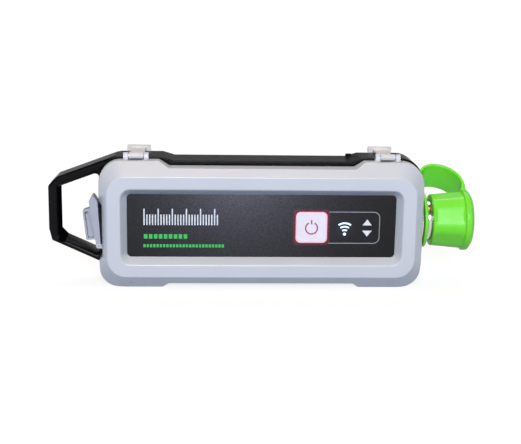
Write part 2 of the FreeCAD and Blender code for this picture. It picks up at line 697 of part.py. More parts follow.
def battery_contacts():
    """Spring contacts on the tray at the pack's right end."""
    w, d, h = CONTACT_SIZE
    x0 = BATTERY_X + BATTERY_WIDTH / 2
    first = Z_MID - CONTACT_PITCH * (CONTACT_COUNT - 1) / 2
    blades = []
    for i in range(CONTACT_COUNT):
        z = first + i * CONTACT_PITCH
        foot = box(x0, x0 + w, Y_TRAY + TRAY_T, Y_TRAY + TRAY_T + d, z - h / 2, z + h / 2)
        blade = box(x0, x0 + d, Y_TRAY + TRAY_T, Y_TRAY + TRAY_T + w, z - h / 2, z + h / 2)
        blades.append(union([foot, blade]))
    return Part.makeCompound(blades)


# ---- middle frame with its carrying loop

def loop_outer():
    """Outer outline of the loop, run into the frame's wall."""
    inside = -X_FRAME_END + FRAME_WALL
    left = -HALF - LOOP_REACH
    top_run = math.tan(math.radians(LOOP_TOP_ANGLE))
    low_run = math.tan(math.radians(LOOP_LOW_ANGLE))
    crown_x = left + LOOP_CROWN_RUN
    top_x = -HALF - LOOP_TOP_X
    crown_z = LOOP_TOP_Z - (top_x - crown_x) * top_run
    knee_x, knee_z = -HALF - LOOP_LOW_KNEE[0], LOOP_LOW_KNEE[1]
    low_end = knee_z - (inside - knee_x) * low_run
    return [(inside, Z_MID + low_end, 0), (knee_x, Z_MID + knee_z, LOOP_KNEE_R),
            (left, Z_MID + LOOP_LOW_Z, LOOP_LOW_R), (left, Z_MID + LOOP_SHOULDER_Z, LOOP_SHOULDER_R),
            (crown_x, Z_MID + crown_z, LOOP_SHOULDER_R), (top_x, Z_MID + LOOP_TOP_Z, LOOP_KNEE_R),
            (top_x, Z_MID + LOOP_INNER_TOP_Z, 0), (inside, Z_MID + LOOP_INNER_TOP_Z, 0)]


def loop_inner(grow=0.0):
    """The hand opening's outline, widened by grow for its bevels."""
    right = -X_FRAME_END + grow
    left = -HALF - LOOP_REACH + LOOP_BAR - grow
    top_run = math.tan(math.radians(LOOP_TOP_ANGLE))
    low_run = math.tan(math.radians(LOOP_LOW_ANGLE))
    knee_x, knee_z = -HALF - LOOP_INNER_LOW_KNEE[0], LOOP_INNER_LOW_KNEE[1]
    top_z = LOOP_INNER_TOP_Z + grow
    return [(right, Z_MID + knee_z - grow - (right - knee_x) * low_run, LOOP_ROOT_R),
            (right, Z_MID + top_z + (right - left) * top_run, LOOP_ROOT_R),
            (left, Z_MID + top_z, LOOP_KNEE_R), (left, Z_MID + LOOP_INNER_LOW_Z - grow, LOOP_LOW_R),
            (knee_x - grow / 2, Z_MID + knee_z - grow, LOOP_KNEE_R)]


def carry_loop():
    """Bevelled loop for the hand or a lanyard at the left end."""
    y0 = Y_FRONT_SEAM + LOOP_FRONT_STEP
    y1 = Y_REAR_SEAM - LOOP_REAR_STEP
    bar = prism(loop_outer(), y0, y1)
    bar = bar.makeFillet(LOOP_EDGE_R, edges_between(bar, y0, y0) + edges_between(bar, y1, y1))
    gap = prism(loop_inner(), y0 - OVER, y1 + OVER)
    front_bevel = taper(loop_inner(LOOP_CHAMFER), y0, loop_inner(), y0 + LOOP_CHAMFER)
    rear_bevel = taper(loop_inner(), y1 - LOOP_CHAMFER, loop_inner(LOOP_CHAMFER), y1)
    return bar.cut([gap, front_bevel, rear_bevel])


def frame_lugs():
    """Screw lugs inside the frame, webbed to its wall."""
    lugs = []
    for x, z in case_screw_places():
        up = 1 if z > Z_MID else -1
        lug = rod(LUG_R, vec(x, Y_FRONT_SEAM, z), Y_AXIS, LUG_T)
        reach = SCREW_TOP_MARGIN + FRAME_PROUD_TOP
        z0, z1 = sorted((z, z + up * reach))
        lugs += [lug, box(x - POST_R, x + POST_R, Y_FRONT_SEAM, Y_FRONT_SEAM + LUG_T, z0, z1)]
    for x, z in tray_screw_places():
        out = 1 if x > 0 else -1
        lug = rod(TRAY_LUG_R, vec(x, Y_TRAY - TRAY_LUG_T, z), Y_AXIS, TRAY_LUG_T)
        x0, x1 = sorted((x, out * X_FRAME_END))
        lugs += [lug, box(x0, x1, Y_TRAY - TRAY_LUG_T, Y_TRAY, z - TRAY_LUG_R, z + TRAY_LUG_R)]
    return lugs


def seal_band(y0, y1, clearance=0.0):
    """A ring that follows the covers' edge, for a seal or its groove."""
    outer = prism(case_outline(SEAL_OUTER_INSET - clearance), y0, y1)
    return outer.cut(prism(case_outline(SEAL_OUTER_INSET + SEAL_WIDTH + clearance), y0 - OVER, y1 + OVER))


def carry_frame():
    """Black middle frame and carrying loop in one moulding."""
    block = prism(frame_outline(), Y_FRONT_SEAM, Y_REAR_SEAM)
    lugs = [lug.common(block) for lug in frame_lugs()]
    room = prism(case_outline(FRAME_WALL), Y_FRONT_SEAM - OVER, Y_REAR_SEAM + OVER)
    rounded = block.makeFillet(FRAME_EDGE_R, [e for e in block.Edges if e.BoundBox.YLength < FIT])
    stud_z = Z_TOP + FRAME_PROUD_TOP - FIT
    stud = rod(STUD_R, vec(STUD_X, Y_REAR_SEAM - STUD_BACK, stud_z), Z_AXIS, STUD_HEIGHT)
    body = rounded.cut(room).fuse(lugs + [carry_loop().cut(room), stud])
    wall = X_FRAME_END - X_FRAME_IN
    cuts = [seal_band(Y_FRONT_SEAM - OVER, Y_FRONT_SEAM + SEAL_DEPTH, FIT),
            seal_band(Y_REAR_SEAM - SEAL_DEPTH, Y_REAR_SEAM + OVER, FIT),
            rod(BULKHEAD_R + RUNNING, vec(X_FRAME_IN - OVER, PORT_Y, PORT_Z), X_AXIS, wall + 2 * OVER)]
    for x, z in case_screw_places():
        cuts.append(rod(CASE_SCREW_R + RUNNING, vec(x, Y_FRONT_SEAM - OVER, z), Y_AXIS, LUG_T + 2 * OVER))
    for x, z in tray_screw_places():
        cuts.append(rod(SMALL_SCREW_R + FIT, vec(x, Y_TRAY - TRAY_LUG_T - OVER, z), Y_AXIS,
                        TRAY_LUG_T + 2 * OVER))
    return body.cut(cuts).removeSplitter()


def case_inserts():
    """Brass thread inserts in the front cover's posts."""
    y0 = Y_FRONT_SEAM - INSERT_LENGTH
    return Part.makeCompound([
        rod(INSERT_R, vec(x, y0, z), Y_AXIS, INSERT_LENGTH).cut(
            rod(CASE_SCREW_R + FIT, vec(x, y0 - OVER, z), Y_AXIS, INSERT_LENGTH + 2 * OVER))
        for x, z in case_screw_places()])


def case_screws():
    """Six screws from inside the frame into the front cover."""
    return Part.makeCompound([
        headed_screw(CASE_SCREW_R, CASE_HEAD_R, CASE_HEAD_T, vec(x, Y_FRONT_SEAM + LUG_T, z),
                     LUG_T + CASE_SCREW_BITE)
        for x, z in case_screw_places()])


# ---- rear cover and latches

def rear_rect(grow):
    """The rear cover's flat face, grown evenly on all sides."""
    step_x, step_z = REAR_FACE_STEP
    width = RIM_WIDTH + 2 * (grow - step_x)
    return rect(0, Z_MID, width, RIM_HEIGHT + 2 * (grow - step_z), RIM_R + grow)


def rear_cover():
    """Lift-off rear cover with a locating lip and two tongues."""
    block = prism(case_outline(), Y_REAR_SEAM, Y_BACK)
    blank = block.common(taper(rear_rect(0), Y_BACK, rear_rect(REAR_DEPTH), Y_REAR_SEAM))
    bends = edges_between(blank, Y_REAR_SEAM + SEAM_EDGE_R, Y_BACK - SLOPE_EDGE_R)
    blank = blank.makeFillet(SLOPE_EDGE_R, bends)
    blank = blank.makeFillet(RIM_EDGE_R, edges_between(blank, Y_BACK, Y_BACK))
    blank = blank.makeFillet(SEAM_EDGE_R, edges_between(blank, Y_REAR_SEAM, Y_REAR_SEAM))
    run = REAR_DEPTH - WALL
    room = prism(case_outline(WALL), Y_REAR_SEAM, Y_BACK - WALL)
    slope = taper(rear_rect(-WALL / 2), Y_BACK - WALL, rear_rect(run - WALL / 2), Y_REAR_SEAM)
    body = blank.cut(room.common(slope))
    y0 = Y_REAR_SEAM - LIP_DEPTH
    lip_inset = FRAME_WALL + LIP_CLEAR
    inside = prism(case_outline(lip_inset + LIP_T), y0 - OVER, Y_REAR_SEAM + WALL + OVER)
    lip = prism(case_outline(lip_inset), y0, Y_REAR_SEAM + WALL).cut(inside)
    flange = prism(case_outline(WALL / 2), Y_REAR_SEAM, Y_REAR_SEAM + WALL).cut(inside)
    tongue_z = Z_LOW + lip_inset
    tongues = [box(x - TONGUE_WIDTH / 2, x + TONGUE_WIDTH / 2, Y_REAR_SEAM - TONGUE_LENGTH, Y_REAR_SEAM,
                   tongue_z + LIP_CLEAR, tongue_z + LIP_T) for x in (-TONGUE_X / 2, TONGUE_X / 2)]
    return union([body, lip, flange] + tongues)


def latch(x_mid):
    """Bright lever latch: barrel in the ears, thin arm over the frame, broad finger tab at the back."""
    half = LATCH_WIDTH / 2
    barrel = rod(LATCH_BARREL_R, vec(x_mid - half, LATCH_Y, LATCH_Z), X_AXIS, LATCH_WIDTH)
    arm_z = Z_BUMP + FRAME_PROUD_BUMP + ARM_CLEAR
    tab_y = Y_REAR_SEAM + TAB_SETBACK
    arm = box(x_mid - half, x_mid + half, LATCH_Y, tab_y + TAB_T / 2, arm_z, arm_z + ARM_T)
    tab_z = Z_BUMP + ARM_CLEAR
    tab = box(x_mid - TAB_WIDTH / 2, x_mid + TAB_WIDTH / 2, tab_y, tab_y + TAB_T, tab_z, tab_z + TAB_HEIGHT)
    bore = rod(LATCH_PIN_R + RUNNING, vec(x_mid - TAB_WIDTH, LATCH_Y, LATCH_Z), X_AXIS, 2 * TAB_WIDTH)
    return barrel.fuse([arm, tab]).removeSplitter().cut(bore)


def latch_pins():
    """Hinge pins pressed into the ears."""
    half = LATCH_WIDTH / 2 + EAR_CLEAR + EAR_T
    return Part.makeCompound([rod(LATCH_PIN_R, vec(x - half, LATCH_Y, LATCH_Z), X_AXIS, 2 * half)
                              for x in (-LATCH_X, LATCH_X)])


# ---- port bay

def port_gasket():
    """Black seal around the port window."""
    (y0, y1), (z0, z1) = Y_WINDOW, Z_WINDOW
    edge = GASKET_BAND
    band = box(X_BAY - GASKET_T, X_BAY, y0 - edge, y1 + edge, z0 - edge, z1 + edge)
    return band.cut(box(X_BAY - GASKET_T - OVER, X_BAY + OVER, y0, y1, z0, z1))


def data_port():
    """Flat reversible data socket on the main board's edge."""
    w, d, h = DATA_PORT_SIZE
    x0, z = X_BAY + PORT_SETBACK, Z_DATA_PORT
    shell = box(x0, x0 + w, Y_BOARD - d, Y_BOARD, z - h / 2, z + h / 2)
    wall = DATA_PORT_WALL
    back = x0 + w - DATA_PORT_BACK
    cavity = box(x0 - OVER, back, Y_BOARD - d + wall, Y_BOARD - wall, z - h / 2 + wall, z + h / 2 - wall)
    middle = Y_BOARD - d / 2
    tongue = box(x0 + wall, back + wall, middle - wall, middle + wall, z - h / 3, z + h / 3)
    return union([shell.cut(cavity), tongue])


def power_jack():
    """Round charging jack beside the data socket."""
    x0 = X_BAY + PORT_SETBACK
    body = rod(JACK_R, vec(x0, Y_JACK, Z_JACK), X_AXIS, JACK_LENGTH)
    bore = rod(JACK_BORE_R, vec(x0 - OVER, Y_JACK, Z_JACK), X_AXIS, JACK_DEPTH + OVER)
    pin = rod(JACK_PIN_R, vec(x0 + PORT_SETBACK, Y_JACK, Z_JACK), X_AXIS, JACK_DEPTH)
    return union([body.cut(bore), pin])


def swing_open(shape):
    """Turn a door piece from shut to the angle where it rests."""
    shape.rotate(vec(DOOR_PIN_X, 0, DOOR_PIN_Z), Y_AXIS * -1, DOOR_AJAR)
    return shape


def port_door():
    """Door over the ports, hinged at its lower end, with a raised finger grip."""
    y0, y1 = Y_DOOR_FRONT, Y_DOOR_REAR
    z_pin, z_top = DOOR_PIN_Z, Z_MID + DOOR_TOP
    x_low, x_top = X_DOOR - DOOR_T_LOW, X_DOOR - DOOR_T_TOP
    edge = DOOR_EDGE_R
    plate = prism([(X_DOOR, z_pin, 0), (X_DOOR, Z_MID + DOOR_INNER_TOP, edge),
                   (X_DOOR - DOOR_POINT + DOOR_TOP_FLAT, z_top, edge / 2),
                   (X_DOOR - DOOR_POINT, z_top, edge / 2), (x_top, Z_MID + DOOR_OUTER_TOP, edge),
                   (x_low, z_pin, 0)], y0, y1)
    knuckle = rod(DOOR_T_LOW / 2, vec(DOOR_PIN_X, y0, z_pin), Y_AXIS, y1 - y0)
    grip_x = (x_low + x_top) / 2
    z0, z1 = Z_MID + GRIP_LOW, Z_MID + GRIP_TOP
    root_x, tip_x = grip_x + OVER, grip_x - GRIP_PROUD
    grip = prism([(root_x, z0, 0), (root_x, z1, 0), (tip_x, z1 - GRIP_BEVEL, edge),
                  (tip_x + GRIP_BEVEL / 2, z0, edge)], y0 + GRIP_INSET, y1 - GRIP_INSET)
    rim = GRIP_RIM
    pocket = prism([(x_low - rim, z0 + rim, edge / 2), (x_top - rim, z1 - GRIP_BEVEL - rim / 2, edge / 2),
                    (tip_x + rim, z1 - GRIP_BEVEL - rim, edge / 2),
                    (tip_x + GRIP_BEVEL / 2 + rim, z0 + rim, edge / 2)],
                   y0 + GRIP_INSET - OVER, y0 + GRIP_INSET + GRIP_POCKET)
    body = union([plate, knuckle, grip]).cut(pocket)
    bore = rod(DOOR_PIN_R + RUNNING, vec(DOOR_PIN_X, y0 - OVER, z_pin), Y_AXIS, y1 - y0 + 2 * OVER)
    return swing_open(body.cut(bore))


def port_door_pin():
    """Pin through the door and its two lugs."""
    y0 = Y_DOOR_FRONT - DOOR_CLEAR - DOOR_LUG_T
    length = DOOR_WIDTH + 2 * (DOOR_CLEAR + DOOR_LUG_T)
    return rod(DOOR_PIN_R, vec(DOOR_PIN_X, y0, DOOR_PIN_Z), Y_AXIS, length)


# ---- test port

def rf_connector():
    """Plated body of the test port: flange, neck, thread and bulkhead shank."""
    inner = X_SHANK
    flange = X_FLANGE - inner
    neck = flange + FLANGE_T
    end = neck + BARREL_LENGTH
    outside = [(0, 0), (0, BULKHEAD_R), (flange, BULKHEAD_R), (flange, FLANGE_R), (neck, FLANGE_R),
               (neck, NECK_R), (neck + NECK_LENGTH, NECK_R), (neck + NECK_LENGTH, THREAD_R),
               (end - THREAD_CHAMFER, THREAD_R), (end, THREAD_R - THREAD_CHAMFER), (end, 0)]
    body = lathe(outside, inner, PORT_Y, PORT_Z)
    floor = X_PORT_END - SOCKET_DEPTH
    socket = rod(SOCKET_R, vec(floor, PORT_Y, PORT_Z), X_AXIS, SOCKET_DEPTH + OVER)
    bore = rod(SHELL_R - SHELL_T + FIT, vec(inner - OVER, PORT_Y, PORT_Z), X_AXIS, floor - inner + 2 * OVER)
    shell_length = SOCKET_DEPTH - SHELL_SETBACK
    shell = rod(SHELL_R, vec(floor - OVER, PORT_Y, PORT_Z), X_AXIS, shell_length + OVER)
    return union([body.cut(socket), shell]).cut(bore.fuse(
        rod(SHELL_R - SHELL_T + FIT, vec(floor, PORT_Y, PORT_Z), X_AXIS, SOCKET_DEPTH)))


def rf_insulator():
    """White bead that holds the centre contact."""
    x0 = X_PORT_END - SOCKET_DEPTH - INSULATOR_LENGTH
    bead = rod(SHELL_R - SHELL_T, vec(x0, PORT_Y, PORT_Z), X_AXIS, INSULATOR_LENGTH)
    start = vec(x0 - OVER, PORT_Y, PORT_Z)
    return bead.cut(rod(PORT_CONTACT_R + FIT, start, X_AXIS, INSULATOR_LENGTH + 2 * OVER))


def rf_contact():
    """Centre contact with its bored end and its solder tail."""
    x0 = X_SHANK
    length = X_PORT_END - CONTACT_SETBACK - SHELL_SETBACK - x0
    pin = rod(PORT_CONTACT_R, vec(x0, PORT_Y, PORT_Z), X_AXIS, length)
    bore_start = x0 + length - SOCKET_DEPTH / 2
    return pin.cut(rod(CONTACT_BORE_R, vec(bore_start, PORT_Y, PORT_Z), X_AXIS, SOCKET_DEPTH))


def connector_gasket():
    """Seal between the flange and the frame."""
    ring = rod(FLANGE_R, vec(X_FRAME_END, PORT_Y, PORT_Z), X_AXIS, CONNECTOR_GASKET_T)
    start = vec(X_FRAME_END - OVER, PORT_Y, PORT_Z)
    return ring.cut(rod(BULKHEAD_R + FIT, start, X_AXIS, CONNECTOR_GASKET_T + 2 * OVER))


def connector_nut():
    """Hexagon nut inside the frame wall."""
    x0 = X_FRAME_IN - NUT_T
    corner = NUT_FLATS / math.sqrt(3)
    turns = [i * math.pi / 3 for i in range(6)]
    points = [vec(x0, PORT_Y + corner * math.sin(t), PORT_Z + corner * math.cos(t)) for t in turns]
    hexagon = Part.Face(Part.makePolygon(points + points[:1])).extrude(vec(NUT_T, 0, 0))
    return hexagon.cut(rod(BULKHEAD_R + FIT, vec(x0 - OVER, PORT_Y, PORT_Z), X_AXIS, NUT_T + 2 * OVER))


def rf_pigtail():
    """Short coaxial line from the measuring unit to the test port."""
    nut = rod(PIGTAIL_NUT_R, vec(X_RF, PORT_Y, PORT_Z), X_AXIS, PIGTAIL_NUT_LENGTH)
    x0 = X_RF + PIGTAIL_NUT_LENGTH / 2
    line = rod(PIGTAIL_R, vec(x0, PORT_Y, PORT_Z), X_AXIS, X_SHANK - x0)
    return union([nut, line])


# ---- dust cap and tether

def leaned(shape):
    """Lean a tether piece back about the test port's axis."""
    shape.rotate(vec(0, PORT_Y, PORT_Z), X_AXIS, -STRAP_LEAN)
    return shape


def tether_ring():
    """Ring in the neck of the test port, with the strap's root."""
    ring = rod(RING_R, vec(X_RING, PORT_Y, PORT_Z), X_AXIS, RING_T)
    root = box(X_RING, X_RING + RING_T, PORT_Y - STRAP_WIDTH / 2, PORT_Y + STRAP_WIDTH / 2,
               PORT_Z, PORT_Z + RING_TAB_R)
    bore = rod(NECK_R + RING_CLEAR, vec(X_RING - OVER, PORT_Y, PORT_Z), X_AXIS, RING_T + 2 * OVER)
    return leaned(union([ring, root]).cut(bore))


def crest_mid(side, apex):
    """Middle of the arc from a point at the side up to its crest, as (x, radius)."""
    across, rise = side[0] - apex[0], apex[1] - side[1]
    radius = (across ** 2 + rise ** 2) / (2 * rise)
    half_turn = math.atan2(across, radius - rise) / 2
    return (apex[0] + radius * math.sin(half_turn), apex[1] - radius + radius * math.cos(half_turn))


def strap_line(offset, end_x):
    """One face of the strap as root, knee, arc, apex, arc and end points in X and radius."""
    root = (X_RING + offset, RING_TAB_R)
    knee = (X_RING + offset, STRAP_KNEE_R)
    apex = (X_RING + RING_T / 2 + STRAP_APEX_X, STRAP_APEX_R - offset)
    end = (end_x - offset, CAP_TAB_R + STRAP_END_CLEAR)
    return [root, knee, crest_mid(knee, apex), apex, crest_mid(end, apex), end]


def strap_edges(points):
    """A straight leg and two arcs through one face's points."""
    y = PORT_Y - STRAP_WIDTH / 2
    root, knee, rise, apex, fall, end = [vec(x, y, PORT_Z + r) for x, r in points]
    arcs = [Part.Arc(knee, rise, apex).toShape(), Part.Arc(apex, fall, end).toShape()]
    return [Part.makeLine(root, knee)] + arcs


def tether_strap():
    """Broad strap that arches behind the cap."""
    end_x = X_CAP_TAB + CAP_TAB_T
    outer = strap_line(0, end_x)
    inner = strap_line(STRAP_T, end_x)
    start_line = Part.makeLine(vec(inner[0][0], PORT_Y - STRAP_WIDTH / 2, PORT_Z + inner[0][1]),
                               vec(outer[0][0], PORT_Y - STRAP_WIDTH / 2, PORT_Z + outer[0][1]))
    end_line = Part.makeLine(vec(outer[-1][0], PORT_Y - STRAP_WIDTH / 2, PORT_Z + outer[-1][1]),
                             vec(inner[-1][0], PORT_Y - STRAP_WIDTH / 2, PORT_Z + inner[-1][1]))
    edges = strap_edges(outer) + [end_line] + strap_edges(inner) + [start_line]
    face = Part.Face(Part.Wire(Part.__sortEdges__(edges)))
    return leaned(face.extrude(vec(0, STRAP_WIDTH, 0)))


def cap_flats(length):
    """Tools that cut the finger flats, one of them under the strap."""
    tools = []
    for turn in range(CAP_FLATS):
        flat = box(X_CAP - OVER, X_CAP + length, PORT_Y - CAP_BODY_R / 2, PORT_Y + CAP_BODY_R / 2,
                   PORT_Z + CAP_FLAT_R, PORT_Z + CAP_FLANGE_R)
        flat.rotate(vec(0, PORT_Y, PORT_Z), X_AXIS, turn * 360 / CAP_FLATS)
        tools.append(flat)
    return tools


def dust_cap():
    """Soft green cap pushed over the test port."""
    flange0 = CAP_LENGTH - CAP_CROWN - CAP_FLANGE_T
    flange1 = CAP_LENGTH - CAP_CROWN
    bore_r = THREAD_R + CAP_BORE_CLEAR
    bore_end = X_PORT_END - X_CAP + CAP_BORE_CLEAR
    profile = [(0, bore_r), (0, CAP_OPEN_R), (flange0 - CAP_STEP, CAP_BODY_R), (flange0, CAP_FLANGE_R),
               (flange1, CAP_FLANGE_R), (CAP_LENGTH, CAP_CROWN_R), (CAP_LENGTH, 0), (bore_end, 0),
               (bore_end, bore_r)]
    cup = lathe(profile, X_CAP, PORT_Y, PORT_Z).cut(cap_flats(flange0 - CAP_STEP))
    tab = box(X_CAP_TAB, X_CAP_TAB + CAP_TAB_T, PORT_Y - STRAP_WIDTH / 2, PORT_Y + STRAP_WIDTH / 2,
              PORT_Z + CAP_FLANGE_R / 2, PORT_Z + CAP_TAB_R)
    keep = rod(CAP_OPEN_R, vec(X_CAP, PORT_Y, PORT_Z), X_AXIS, bore_end)
    return leaned(union([cup, tab.cut(keep)]))


def main():
    """Build every node and write it to parts/."""
    os.makedirs("parts", exist_ok=True)
    for maker in (front_cover, panel_overlay, power_button, light_guide, button_dome, status_leds,
                  main_board, board_screws, wifi_module, rf_module, battery_tray, tray_screws,
                  battery_pack, battery_contacts, carry_frame, case_inserts, case_screws, rear_cover,
                  latch_pins, port_gasket, data_port, power_jack, port_door, port_door_pin,
                  rf_connector, rf_insulator, rf_contact, connector_gasket, connector_nut, rf_pigtail,
                  tether_ring, tether_strap, dust_cap):
        save(maker.__name__, maker())
    save("front_seal", seal_band(Y_FRONT_SEAM, Y_FRONT_SEAM + SEAL_DEPTH))
    save("rear_seal", seal_band(Y_REAR_SEAM - SEAL_DEPTH, Y_REAR_SEAM))
    save("latch_left", latch(-LATCH_X))
    save("latch_right", latch(LATCH_X))


main()
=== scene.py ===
import logging
import math
from collections.abc import Callable
from dataclasses import dataclass
from enum import Enum

import bmesh
import bpy
from mathutils import Matrix, Vector


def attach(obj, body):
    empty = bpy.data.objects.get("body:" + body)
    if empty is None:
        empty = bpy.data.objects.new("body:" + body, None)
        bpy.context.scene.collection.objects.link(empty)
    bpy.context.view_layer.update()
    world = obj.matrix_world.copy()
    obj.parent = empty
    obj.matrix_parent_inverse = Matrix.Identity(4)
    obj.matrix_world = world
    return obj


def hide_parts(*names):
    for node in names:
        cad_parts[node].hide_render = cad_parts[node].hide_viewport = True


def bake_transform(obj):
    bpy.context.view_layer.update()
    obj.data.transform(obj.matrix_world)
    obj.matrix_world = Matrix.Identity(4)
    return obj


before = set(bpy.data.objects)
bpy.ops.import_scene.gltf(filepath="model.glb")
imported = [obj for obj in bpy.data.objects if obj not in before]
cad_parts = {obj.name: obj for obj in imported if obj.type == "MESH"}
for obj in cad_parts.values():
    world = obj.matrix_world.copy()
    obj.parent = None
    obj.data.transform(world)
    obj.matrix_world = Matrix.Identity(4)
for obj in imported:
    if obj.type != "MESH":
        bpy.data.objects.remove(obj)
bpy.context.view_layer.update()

LOG = logging.getLogger("analyzer")
MM = 0.001
MERGE = 1e-5     # points of a new mesh nearer than this, in millimetres, are one
WELD = 2e-6      # the same for a CAD solid's mesh, in metres
FLAT = 0.5       # degrees between faces that count as one flat face
CREASE = 32.0    # degrees past which an edge stays crisp
STRAIGHT = 89.0  # half angle, in degrees, past which a corner is left as it is
ACROSS = 3       # faces across a softened edge
SMOOTH = {"interpolation_type": "SMOOTHSTEP"}  # a change with a soft start and end

Form = bmesh.types.BMesh
Inputs = bpy.types.NodeOutputs
Node = bpy.types.Node
Piece = bpy.types.Object
Socket = bpy.types.NodeSocket
Tree = bpy.types.NodeTree
Pair = tuple[float, float]
Triple = tuple[float, float, float]
Colour = tuple[float, float, float, float]
Line = list[Pair]
Solids = tuple[tuple[str, "Look"], ...]


# ---- small tools

def linear(code: str) -> Colour:
    """Turn six hex digits of sRGB into linear red, green and blue, with an alpha of 1."""
    parts = [int(code[i:i + 2], 16) / 255 for i in (0, 2, 4)]
    return tuple(c / 12.92 if c <= 0.04045 else ((c + 0.055) / 1.055) ** 2.4 for c in parts) + (1.0,)


def node(tree: Tree, kind: str, inputs: dict | None = None, **settings: str | int | float) -> Node:
    """Add a node to a tree.

    Args:
        tree: shader or geometry tree.
        kind: the node's type name.
        inputs: sockets by name or number, each a value, an output to link from, or a node that
            gives its first output.
        settings: attributes to set.

    Returns:
        The new node.
    """
    made = tree.nodes.new(kind)
    for name, value in settings.items():
        setattr(made, name, value)
    for key, value in (inputs or {}).items():
        source = value.outputs[0] if isinstance(value, Node) else value
        if isinstance(source, Socket):
            tree.links.new(source, made.inputs[key])
        else:
            made.inputs[key].default_value = source
    return made


def ease(part: float) -> float:
    """Smooth step from 0 to 1."""
    part = max(0.0, min(1.0, part))
    return part * part * (3 - 2 * part)


def soft_least(a: float, b: float, blend: float) -> float:
    """The smaller of two lengths, rounded off where they meet."""
    mix = max(0.0, min(1.0, 0.5 + (b - a) / (2 * blend)))
    return b + (a - b) * mix - blend * mix * (1 - mix)


# ---- finishes

@dataclass(frozen=True)
class Finish:
    """A solid material: two close colours, a grain with its relief, and gloss. Sizes in millimetres."""

    name: str
    colour: str
    shade: str
    roughness: float = 0.5
    grain: float = 0.5
    relief: float = 0.01
    mottle: float = 25.0
    metallic: float = 0.0
    ior: float = 1.5
    specular: float = 0.5
    edge: float = 0.0
    coat: float = 0.0
    coat_roughness: float = 0.12
    flesh: float = 0.0
    flesh_depth: float = 2.0
    flesh_spread: Triple = (1.0, 1.0, 0.4)
    uneven: float = 0.08
    stretch: Triple = (1.0, 1.0, 1.0)

    def build(self) -> bpy.types.Material:
        """Make the node material.

        Returns:
            The material.
        """
        material = bpy.data.materials.new(self.name)
        material.use_nodes = True
        tree = material.node_tree
        tree.nodes.clear()
        place = node(tree, "ShaderNodeTexCoord").outputs["Object"]
        cloud = node(tree, "ShaderNodeTexNoise", {
            "Vector": place, "Scale": 2 / (self.mottle * MM), "Detail": 3.0})
        gloss = node(tree, "ShaderNodeMapRange", {
            "Value": cloud, "From Min": 0.3, "From Max": 0.7, "To Min": self.roughness * (1 - self.uneven),
            "To Max": self.roughness * (1 + self.uneven)})
        shader = node(tree, "ShaderNodeBsdfPrincipled", {
            "Base Color": self.colours(tree, place), "Metallic": self.metallic, "Roughness": gloss,
            "IOR": self.ior, "Specular IOR Level": self.specular,
            "Coat Weight": self.coat, "Coat Roughness": self.coat_roughness,
            "Subsurface Weight": self.flesh, "Subsurface Radius": self.flesh_spread,
            "Subsurface Scale": self.flesh_depth * MM, "Normal": self.surface(tree, place)})
        self.light(tree, place, shader)
        node(tree, "ShaderNodeOutputMaterial", {"Surface": shader.outputs["BSDF"]})
        return material

    def colours(self, tree: Tree, place: Socket) -> Socket:
        """Cloudy change between the two colours.

        Args:
            tree: the material's nodes.
            place: Object coordinates.

        Returns:
            The colour.
        """
        cloud = node(tree, "ShaderNodeTexNoise", {
            "Vector": place, "Scale": 1 / (self.mottle * MM), "Detail": 4.0})
        return node(tree, "ShaderNodeMix", {
            0: cloud, 6: linear(self.colour), 7: linear(self.shade)}, data_type="RGBA").outputs[2]

    def surface(self, tree: Tree, place: Socket) -> Socket:
        """Grain, stretched along the way the surface was worked, over softened edges if it has them.

        Args:
            tree: the material's nodes.
            place: Object coordinates.

        Returns:
            The normal.
        """
        turned = node(tree, "ShaderNodeMapping", {"Vector": place, "Scale": self.stretch})
        grain = node(tree, "ShaderNodeTexNoise", {
            "Vector": turned, "Scale": 1 / (self.grain * MM), "Detail": 2.0})
        inputs = {"Distance": self.relief * MM, "Height": grain}
        if self.edge:
            inputs["Normal"] = node(tree, "ShaderNodeBevel", {"Radius": self.edge * MM}, samples=8)
        return node(tree, "ShaderNodeBump", inputs).outputs[0]

    def light(self, tree: Tree, place: Socket, shader: Node) -> None:
        """A plain material gives no light of its own."""

    def past_box(self, tree: Tree, place: Socket, middle: Pair, half: Pair) -> Socket:
        """How far a point is past the sides of a box that runs along Y.

        Args:
            tree: the material's nodes.
            place: Object coordinates.
            middle: X and Z of the box's middle.
            half: its half width and half height.

        Returns:
            The distance along each axis, less than 0 inside.
        """
        offset = node(tree, "ShaderNodeVectorMath", {
            0: place, 1: (middle[0] * MM, 0.0, middle[1] * MM)}, operation="SUBTRACT")
        size = node(tree, "ShaderNodeVectorMath", {0: offset}, operation="ABSOLUTE")
        return node(tree, "ShaderNodeVectorMath", {
            0: size, 1: (half[0] * MM, 1.0, half[1] * MM)}, operation="SUBTRACT").outputs[0]


